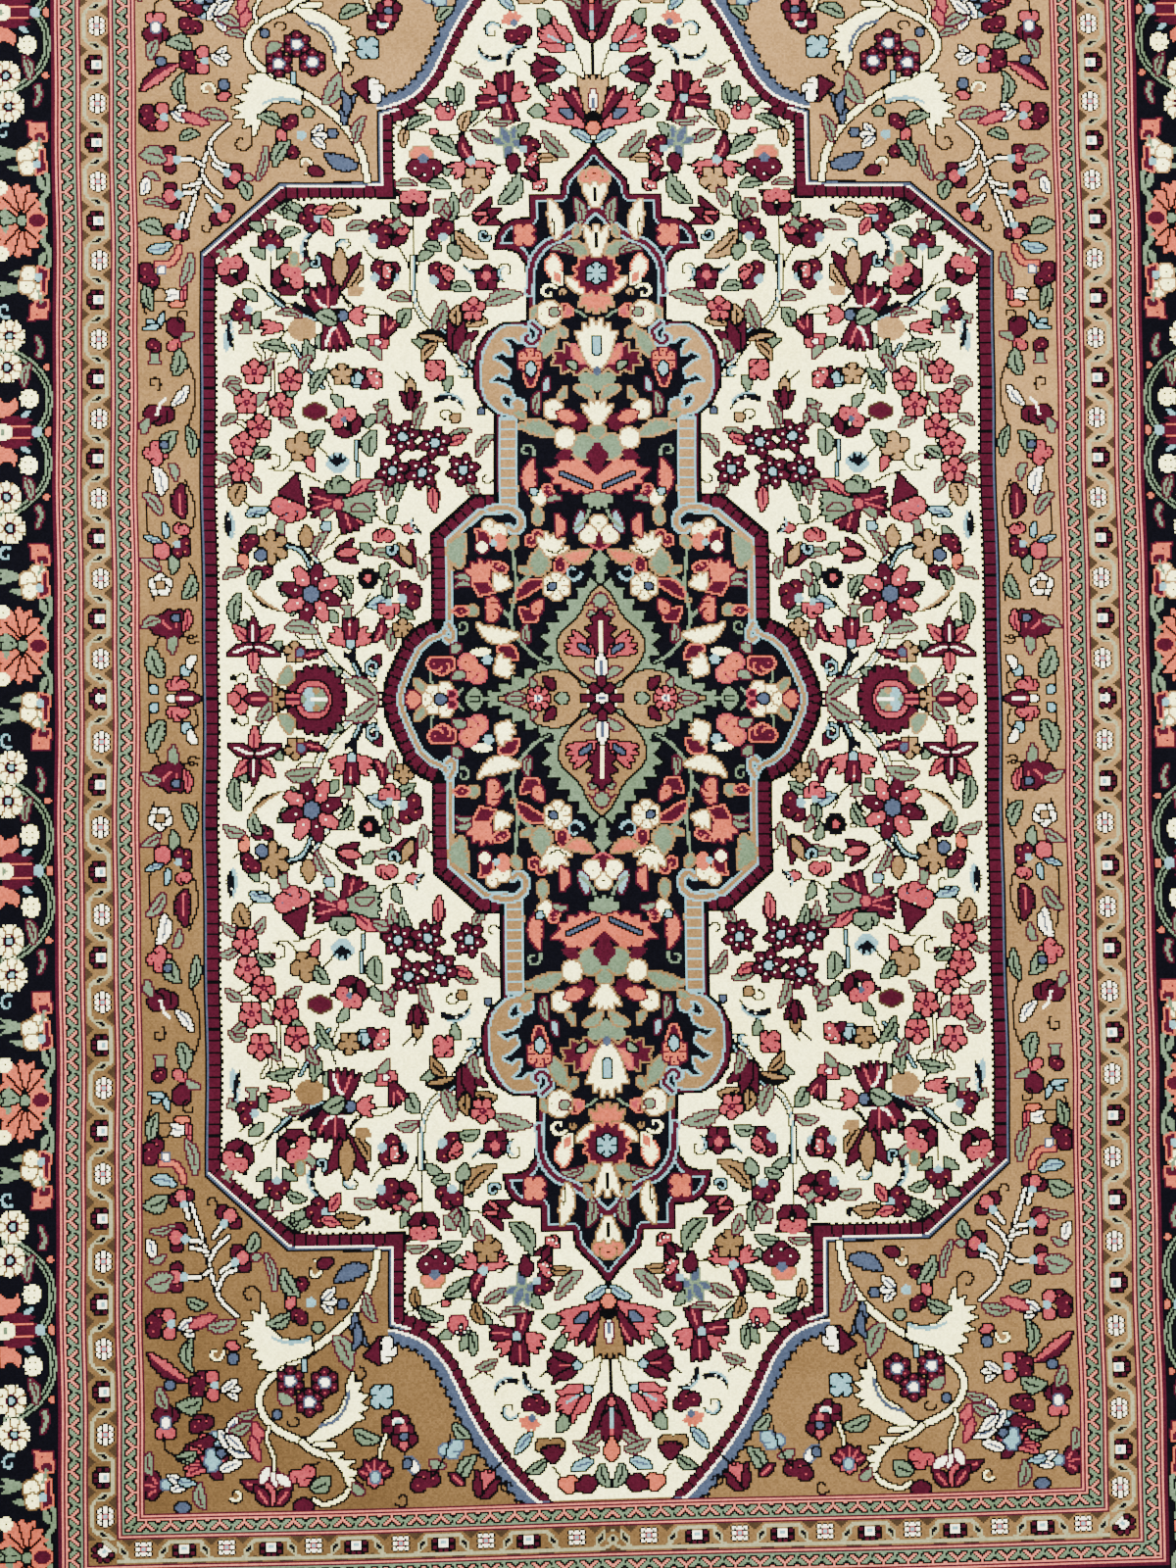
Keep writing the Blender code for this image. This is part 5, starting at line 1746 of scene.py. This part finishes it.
def yarn_mesh(name, columns, rows, under):
    """A mesh from corner arrays, its shared corners joined, with a flat map of both sides."""
    keys = ((columns + COLUMNS) * (2 * ROWS + 1) + rows + ROWS) * 2 + under
    unique, place_of = np.unique(keys.ravel(), return_inverse=True)
    below = unique % 2 == 1
    unique_columns = unique // 2 // (2 * ROWS + 1) - COLUMNS
    unique_rows = unique // 2 % (2 * ROWS + 1) - ROWS
    x, y = knot_places(unique_columns.astype(float), unique_rows.astype(float))
    z = np.where(below, 0.0, pile_top(unique_columns, unique_rows))
    mesh = bpy.data.meshes.new(name)
    mesh.from_pydata(np.column_stack([x, y, z]).tolist(), [], place_of.reshape(-1, 4).tolist())
    across = (x / PILE_WIDE + 0.5) * MAP_WIDE
    flat = np.column_stack([across + np.where(below, MAP_BACK, MAP_TOP), y / PILE_LONG + 0.5])
    layer = mesh.uv_layers.new(name="OFBake")
    layer.data.foreach_set("uv", flat[place_of.ravel()].astype(np.float32).ravel())
    mesh.update()
    return mesh


def add_piece(name, mesh, material, slot, *nodes):
    """A piece of the rug in its material, standing for the named nodes."""
    piece = bpy.data.objects.new(name, mesh)
    bpy.context.scene.collection.objects.link(piece)
    mesh.materials.append(material)
    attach(piece, "root")
    if nodes:
        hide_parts(*nodes)
    return piece


# Materials

def colour(rgb):
    """Display colour, 0 to 255, as the shader's own."""
    out = []
    for value in rgb:
        value = value / 255
        out.append(value / 12.92 if value <= 0.04045 else ((value + 0.055) / 1.055) ** 2.4)
    return (*out, 1)


RELIEF_STRENGTH, RELIEF_DEEP = 0.8, 0.0004


class Shader:
    """Short calls for building a node material."""

    def __init__(self, name):
        self.material = bpy.data.materials.new(name)
        self.material.use_nodes = True
        self.nodes = self.material.node_tree.nodes
        self.links = self.material.node_tree.links
        self.main = self.nodes["Principled BSDF"]
        self.place = self.nodes.new("ShaderNodeTexCoord").outputs["Object"]

    def put(self, socket, value):
        """Links a socket to another node's result, or sets it."""
        if isinstance(value, bpy.types.NodeSocket):
            self.links.new(value, socket)
        else:
            socket.default_value = value

    def math(self, kind, a, b=0.0, c=0.0):
        node = self.nodes.new("ShaderNodeMath")
        node.operation = kind
        for socket, value in zip(node.inputs, (a, b, c)):
            self.put(socket, value)
        return node.outputs[0]

    def vector(self, kind, a, b=(0, 0, 0)):
        node = self.nodes.new("ShaderNodeVectorMath")
        node.operation = kind
        self.put(node.inputs[0], a)
        self.put(node.inputs[1], b)
        return node.outputs[0]

    def noise(self, scale, stretch=(1, 1, 1), detail=2.0, rough=0.5):
        node = self.nodes.new("ShaderNodeTexNoise")
        self.put(node.inputs["Vector"], self.vector("MULTIPLY", self.place, stretch))
        node.inputs["Scale"].default_value = scale
        node.inputs["Detail"].default_value = detail
        node.inputs["Roughness"].default_value = rough
        return node.outputs["Fac"]

    def cells(self, wide, long):
        """A value of its own for each knot."""
        grid = self.vector("FLOOR", self.vector("MULTIPLY", self.place, (1 / wide, 1 / long, 0)))
        node = self.nodes.new("ShaderNodeTexWhiteNoise")
        node.noise_dimensions = "2D"
        self.put(node.inputs["Vector"], grid)
        return node.outputs["Value"]

    def around(self, value, amount):
        """Moves a value from 0..1 to 1 give or take amount."""
        return self.math("MULTIPLY_ADD", value, 2 * amount, 1 - amount)

    def clamp(self, value, most):
        return self.math("MINIMUM", self.math("MAXIMUM", value, 0.0), most)

    def ribs(self, place, pitch):
        """0 to 1 and back at each pitch."""
        return self.math("ABSOLUTE", self.math("SINE", self.math("MULTIPLY", place, math.pi / pitch)))

    def axes(self):
        node = self.nodes.new("ShaderNodeSeparateXYZ")
        self.put(node.inputs[0], self.place)
        return node.outputs

    def surface(self, base, rough, shine):
        self.put(self.main.inputs["Base Color"], base)
        self.main.inputs["Roughness"].default_value = rough
        self.main.inputs["Specular IOR Level"].default_value = shine

    def tint(self, base, factor):
        """The base colour darkened or lightened by factor."""
        node = self.nodes.new("ShaderNodeMix")
        node.data_type = "RGBA"
        node.blend_type = "MULTIPLY"
        node.inputs["Factor"].default_value = 1.0
        self.put(node.inputs["A"], base)
        join = self.nodes.new("ShaderNodeCombineColor")
        for i in range(3):
            self.put(join.inputs[i], factor)
        self.put(node.inputs["B"], join.outputs["Color"])
        return node.outputs["Result"]

    def blend(self, base, other, factor):
        node = self.nodes.new("ShaderNodeMix")
        node.data_type = "RGBA"
        self.put(node.inputs["Factor"], factor)
        self.put(node.inputs["A"], base)
        self.put(node.inputs["B"], other)
        return node.outputs["Result"]

    def bump(self, height):
        node = self.nodes.new("ShaderNodeBump")
        node.inputs["Strength"].default_value = RELIEF_STRENGTH
        node.inputs["Distance"].default_value = RELIEF_DEEP
        self.put(node.inputs["Height"], height)
        self.put(self.main.inputs["Normal"], node.outputs["Normal"])


# main colour, faded colour and how far the fading shows
YARN_COLOURS = {
    "cream": ((243, 241, 164), (230, 219, 124), 0.5),
    "gold": ((124, 95, 58), (100, 75, 45), 0.6),
    "burgundy": ((48, 9, 22), (37, 6, 18), 0.45),
    "navy": ((5, 5, 9), (4, 4, 6), 0.4),
    "black": ((4, 4, 5), (2, 2, 3), 0.3),
    "rose": ((126, 46, 52), (108, 34, 40), 0.5),
    "salmon": ((147, 68, 48), (130, 55, 37), 0.5),
    "sage": ((75, 92, 71), (61, 75, 52), 0.55),
    "sky": ((90, 131, 136), (75, 114, 120), 0.4),
    "slate": ((47, 55, 71), (39, 46, 61), 0.4),
    "white": ((243, 240, 206), (228, 218, 172), 0.3),
    "brown": ((45, 34, 22), (37, 27, 17), 0.4),
    "blush": ((164, 90, 75), (149, 75, 61), 0.4),
    "pale": ((121, 120, 87), (106, 102, 70), 0.35),
}


# painted shade on the gold yarn, darker towards the lower-left corner, standing in for the pile's duller
# sheen there: slopes per metre, depth at the middle and the most
SHADE_ACROSS, SHADE_ALONG, SHADE_MIDDLE, SHADE_MOST = 0.36, 0.40, 0.25, 0.62


def wool(name, main, faded, mottle):
    """Knotted wool: each knot a shade of its own, dye lots along the rows, cloudy fading and fine fibres."""
    shader = Shader("wool_" + name)
    knots = shader.cells(KNOT_WIDE, ROW_UP)
    lots = shader.noise(2.2, (0.35, 14, 1), 3.0, 0.6)
    clouds = shader.noise(9.0, (1, 1, 1), 4.0, 0.6)
    fibres = shader.noise(1500.0, (1, 0.6, 1), 1.0)
    fading = shader.math("MULTIPLY", shader.math("SUBTRACT", clouds, 0.42), 4.0)
    fading = shader.math("MULTIPLY", shader.clamp(fading, 1.0), mottle)
    base = shader.blend(colour(main), colour(faded), fading)
    factor = shader.math("MULTIPLY", shader.around(knots, 0.20), shader.around(lots, 0.14))
    factor = shader.math("MULTIPLY", factor, shader.around(fibres, 0.12))
    axes = shader.axes()
    # painted shade: only the gold yarn's colour darkens towards the lower-left corner
    if name == "gold":
        lean = shader.math("MULTIPLY_ADD", axes["X"], -SHADE_ACROSS, SHADE_MIDDLE)
        deep = shader.clamp(shader.math("MULTIPLY_ADD", axes["Y"], -SHADE_ALONG, lean), SHADE_MOST)
        factor = shader.math("MULTIPLY", factor, shader.math("SUBTRACT", 1.0, deep))
    shader.surface(shader.tint(base, factor), 0.95, 0.01)
    rows, stitches = shader.ribs(axes["Y"], ROW_UP), shader.ribs(axes["X"], KNOT_WIDE)
    height = shader.math("ADD", shader.math("MULTIPLY", rows, 0.45),
                         shader.math("MULTIPLY", stitches, 0.25))
    for relief, share in ((fibres, 0.9), (knots, 0.5)):
        height = shader.math("ADD", height, shader.math("MULTIPLY", relief, share))
    shader.bump(height)
    return shader.material


def twisted(name, main, faded, pitch, along):
    """Twisted or plain-woven yarn, ribbed at pitch along one axis."""
    shader = Shader(name)
    clouds = shader.noise(30.0, (1, 1, 1), 3.0)
    fibres = shader.noise(1100.0, (1, 1, 1), 1.0)
    base = shader.blend(colour(main), colour(faded), clouds)
    shader.surface(shader.tint(base, shader.around(fibres, 0.14)), 0.85, 0.1)
    shader.bump(shader.math("ADD", shader.ribs(shader.axes()[along], pitch),
                            shader.math("MULTIPLY", fibres, 0.5)))
    return shader.material


# The rug's pieces

def build_yarns(cells):
    """One piece for each yarn, showing on the pile side and on the back."""
    back = cells[::BACK_STEP, ::BACK_STEP].copy()
    back[back == BLACK] = NAVY
    faces = [yarn_faces(cells, 1, 0), yarn_faces(back, BACK_STEP, 1)]
    columns, rows, under, yarns = (np.concatenate(part) for part in zip(*faces))
    pieces = []
    for number, name in enumerate(YARNS):
        mine = yarns == number
        if not mine.any():
            continue
        mesh = yarn_mesh("yarn_" + name, columns[mine], rows[mine], under[mine])
        pieces.append(add_piece("yarn_" + name, mesh, wool(name, *YARN_COLOURS[name]), "wool_pile"))
    return pieces


def build_foundation():
    """The closed body of the pile and its foundation, a hair inside the yarns."""
    half_wide, half_long = 0.5 * PILE_WIDE - LAYER_GAP, 0.5 * PILE_LONG - LAYER_GAP
    levels = [(0.0, LAYER_GAP), (0.0, PILE_HIGH - EDGE_ROUND), (EDGE_ROUND, PILE_HIGH - LAYER_GAP)]
    across, along = 28, 38
    verts = []
    ring = [(i / across, 0.0) for i in range(across)] + [(1.0, j / along) for j in range(along)]
    ring += [(1 - i / across, 1.0) for i in range(across)] + [(0.0, 1 - j / along) for j in range(along)]
    for inset, z in levels:
        for a, b in ring:
            verts.append(((2 * a - 1) * (half_wide - inset), (2 * b - 1) * (half_long - inset), z))
    mesh = bpy.data.meshes.new("pile_foundation")
    mesh.from_pydata(verts, [], skin(len(levels), len(ring)))
    shader = wool("foundation", (66, 20, 34), (52, 14, 27), 0.3)
    return add_piece("pile_foundation", mesh, shader, "wool_pile", "pile_body")


def skin(rings, sides):
    """Faces that join rings of points and close both ends."""
    faces = []
    for i in range(rings - 1):
        for k in range(sides):
            j = (k + 1) % sides
            faces.append((i * sides + k, i * sides + j, (i + 1) * sides + j, (i + 1) * sides + k))
    faces.append(tuple(range(sides - 1, -1, -1)))
    faces.append(tuple((rings - 1) * sides + k for k in range(sides)))
    return faces


def tube(points, radii, sides, turn, flat):
    """A twisted strand along points; flat is its height for its width."""
    verts = []
    for i, (middle, radius) in enumerate(zip(points, radii)):
        step = points[min(i + 1, len(points) - 1)] - points[max(i - 1, 0)]
        step = step / np.linalg.norm(step)
        side = np.cross(step, (0, 0, 1.0))
        side = side / np.linalg.norm(side)
        up = np.cross(side, step)
        for k in range(sides):
            a = turn * i + 2 * math.pi * k / sides
            r = radius[k % len(radius)]
            verts.append(tuple(middle + side * r * math.cos(a) + up * r * flat * math.sin(a)))
    return verts, skin(len(points), sides)


SELVEDGE_WIDE, SELVEDGE_HIGH = 0.0062, 0.0068
WIND_PITCH, WIND_DIP = 0.0042, 0.90
WIND_LEAN = 0.25 * WIND_PITCH


def build_selvedge(side):
    """Yarn wound round the edge cords, one soft rib to a wind."""
    winds = int(PILE_LONG / WIND_PITCH)
    rings, sides = 2 * winds + 1, 10
    middle = side * (0.5 * PILE_WIDE + LAYER_GAP + 0.5 * SELVEDGE_WIDE)
    verts = []
    for i in range(rings):
        share = 1.0 if i % 2 else WIND_DIP
        y = -0.5 * PILE_LONG + PILE_LONG * i / (rings - 1)
        for k in range(sides):
            a = 2 * math.pi * k / sides
            lean = WIND_LEAN * math.cos(a) * (0 if i in (0, rings - 1) else 1)
            x = middle + 0.5 * SELVEDGE_WIDE * share * math.cos(a)
            z = SELVEDGE_HIGH * 0.5 * (1 + share * math.sin(a))
            verts.append((x, y + lean, z))
    faces = [face[:1] + face[:0:-1] for face in skin(rings, sides)]
    name = "selvedge_left" if side < 0 else "selvedge_right"
    mesh = bpy.data.meshes.new(name + "_yarn")
    mesh.from_pydata(verts, [], faces)
    mesh.shade_smooth()
    cord = twisted(name, (68, 20, 34), (54, 14, 27), WIND_PITCH / 2, "Y")
    return add_piece(name + "_yarn", mesh, cord, "overcast_wool", name)


STRIP_DEEP, STRIP_HIGH, STRIP_LOW = 0.012, 0.0025, 0.0004
STRANDS, STRAND_LONG, STRAND_LAP = 120, 0.042, 0.0015
STRAND_WIDE, STRAND_THIN, STRAND_TAPER = 0.00175, 0.0011, 0.3
STRAND_MIDDLE, STRAND_LOW = 0.00135, 0.0001
LONG_GIVE, LEAN_GIVE, SWAY_GIVE = 0.004, 0.0016, 0.0008
STRAND_RINGS, STRAND_SIDES, STRAND_TWIST, STRAND_FLAT = 15, 8, 0.55, 0.62


def build_fringe(end):
    """The plain-woven end strip and the warp strands that run out of it."""
    chance = np.random.default_rng(7 if end > 0 else 11)
    start = 0.5 * PILE_LONG + LAYER_GAP
    stop = start + STRIP_DEEP
    wide = 0.5 * PILE_WIDE
    corners = ((-wide, start), (wide, start), (wide, stop), (-wide, stop))
    verts = [(x, end * y, z) for z in (STRIP_LOW, STRIP_HIGH) for x, y in corners]
    faces = [(3, 2, 1, 0), (4, 5, 6, 7), (0, 1, 5, 4), (1, 2, 6, 5), (2, 3, 7, 6), (3, 0, 4, 7)]
    pitch = PILE_WIDE / STRANDS
    for s in range(STRANDS):
        x = -wide + pitch * (s + 0.5)
        long = STRAND_LONG + chance.uniform(-LONG_GIVE, LONG_GIVE)
        lean = chance.uniform(-LEAN_GIVE, LEAN_GIVE)
        sway = chance.uniform(-SWAY_GIVE, SWAY_GIVE)
        t = np.linspace(0, 1, STRAND_RINGS)
        across = x + lean * t + sway * np.sin(t * 5.0)
        outward = start + STRIP_DEEP - STRAND_LAP + (long + STRAND_LAP) * t
        line = np.column_stack([across, outward, np.full(STRAND_RINGS, STRAND_MIDDLE)])
        radii = [(STRAND_WIDE * (1 - STRAND_TAPER * v), STRAND_THIN * (1 - STRAND_TAPER * v)) for v in t]
        more, sides = tube(line, radii, STRAND_SIDES, STRAND_TWIST, STRAND_FLAT)
        base = len(verts)
        verts.extend((vx, end * vy, max(vz, STRAND_LOW)) for vx, vy, vz in more)
        faces.extend(tuple(base + i for i in face) for face in sides)
    if end < 0:
        faces = [face[::-1] for face in faces]
    name = "fringe_top" if end > 0 else "fringe_bottom"
    mesh = bpy.data.meshes.new(name + "_cotton")
    mesh.from_pydata(verts, [], faces)
    cotton = twisted(name, (214, 204, 168), (190, 178, 136), 2 * STRAND_THIN, "X")
    return add_piece(name + "_cotton", mesh, cotton, "warp_cotton", name)


# Floor, light and camera

FLOOR_REACH, FLOOR_GAP = 4.0, 0.0002
WORLD_COLOUR, WORLD_LIGHT = (1.0, 0.99, 0.97, 1), 2.8
# place, size and watts
LAMPS = {"overhead": ((-0.9, 1.3, 2.6), 2.4, 280.0), "fill": ((1.8, -0.8, 2.2), 2.0, 64.0)}
CAMERA_PLACE = (-0.0066, -0.1031, 1.56)
CAMERA_TILT, CAMERA_YAW, CAMERA_ROLL = math.radians(1.55), math.radians(0.27), math.radians(-0.745)
CAMERA_LENS, CAMERA_BACK = 38.57, 36.0


def build_room():
    """A plain pale floor, a hair below the rug."""
    mesh = bpy.data.meshes.new("floor")
    corners = [(FLOOR_REACH * x, FLOOR_REACH * y, 0) for x, y in ((-1, -1), (1, -1), (1, 1), (-1, 1))]
    mesh.from_pydata(corners, [], [(0, 1, 2, 3)])
    floor = bpy.data.objects.new("floor", mesh)
    bpy.context.scene.collection.objects.link(floor)
    floor.location.z = -FLOOR_GAP
    shader = Shader("floor_plain")
    tone = shader.around(shader.noise(3.0), 0.02)
    shader.put(shader.main.inputs["Base Color"], shader.tint((0.66, 0.65, 0.63, 1), tone))
    shader.main.inputs["Roughness"].default_value = 0.7
    mesh.materials.append(shader.material)


def build_lights():
    """Soft light from all round, a large lamp over the upper left and a weaker one over the lower right."""
    world = bpy.data.worlds.new("studio")
    world.use_nodes = True
    world.node_tree.nodes["Background"].inputs["Color"].default_value = WORLD_COLOUR
    world.node_tree.nodes["Background"].inputs["Strength"].default_value = WORLD_LIGHT
    bpy.context.scene.world = world
    for name, (spot, size, power) in LAMPS.items():
        light = bpy.data.lights.new(name, "AREA")
        light.size = size
        light.energy = power
        lamp = bpy.data.objects.new(name, light)
        bpy.context.scene.collection.objects.link(lamp)
        lamp.location = spot
        aim = -np.array(spot)
        lamp.rotation_euler.x = math.acos(-aim[2] / np.linalg.norm(aim))
        lamp.rotation_euler.z = math.atan2(aim[1], aim[0]) - math.pi / 2


def build_camera():
    """Over the rug, looking nearly straight down."""
    data = bpy.data.cameras.new("camera")
    data.sensor_fit = "VERTICAL"
    data.sensor_height = CAMERA_BACK
    data.lens = CAMERA_LENS
    camera = bpy.data.objects.new("camera", data)
    bpy.context.scene.collection.objects.link(camera)
    camera.rotation_mode = "XYZ"
    camera.location = CAMERA_PLACE
    camera.rotation_euler = (CAMERA_TILT, CAMERA_YAW, CAMERA_ROLL)
    bpy.context.scene.camera = camera


def main():
    """Draws the quarter, mirrors it to the half and the whole, and builds the rug from its knots."""
    quarter = Sheet(ROWS, 0, GOLD)
    paint_all(quarter)
    half = Sheet(ROWS, ROWS, GOLD)
    half.cells[ROWS:] = quarter.cells
    half.cells[:ROWS] = quarter.cells[::-1]
    paint_main_border(half)
    paint_guards(half)
    cells = np.concatenate([half.cells[:, ::-1], half.cells], axis=1)
    yarns = build_yarns(cells)
    foundation = build_foundation()
    others = [build_selvedge(-1), build_selvedge(1), build_fringe(1), build_fringe(-1)]
    build_room()
    build_lights()
    build_camera()


main()
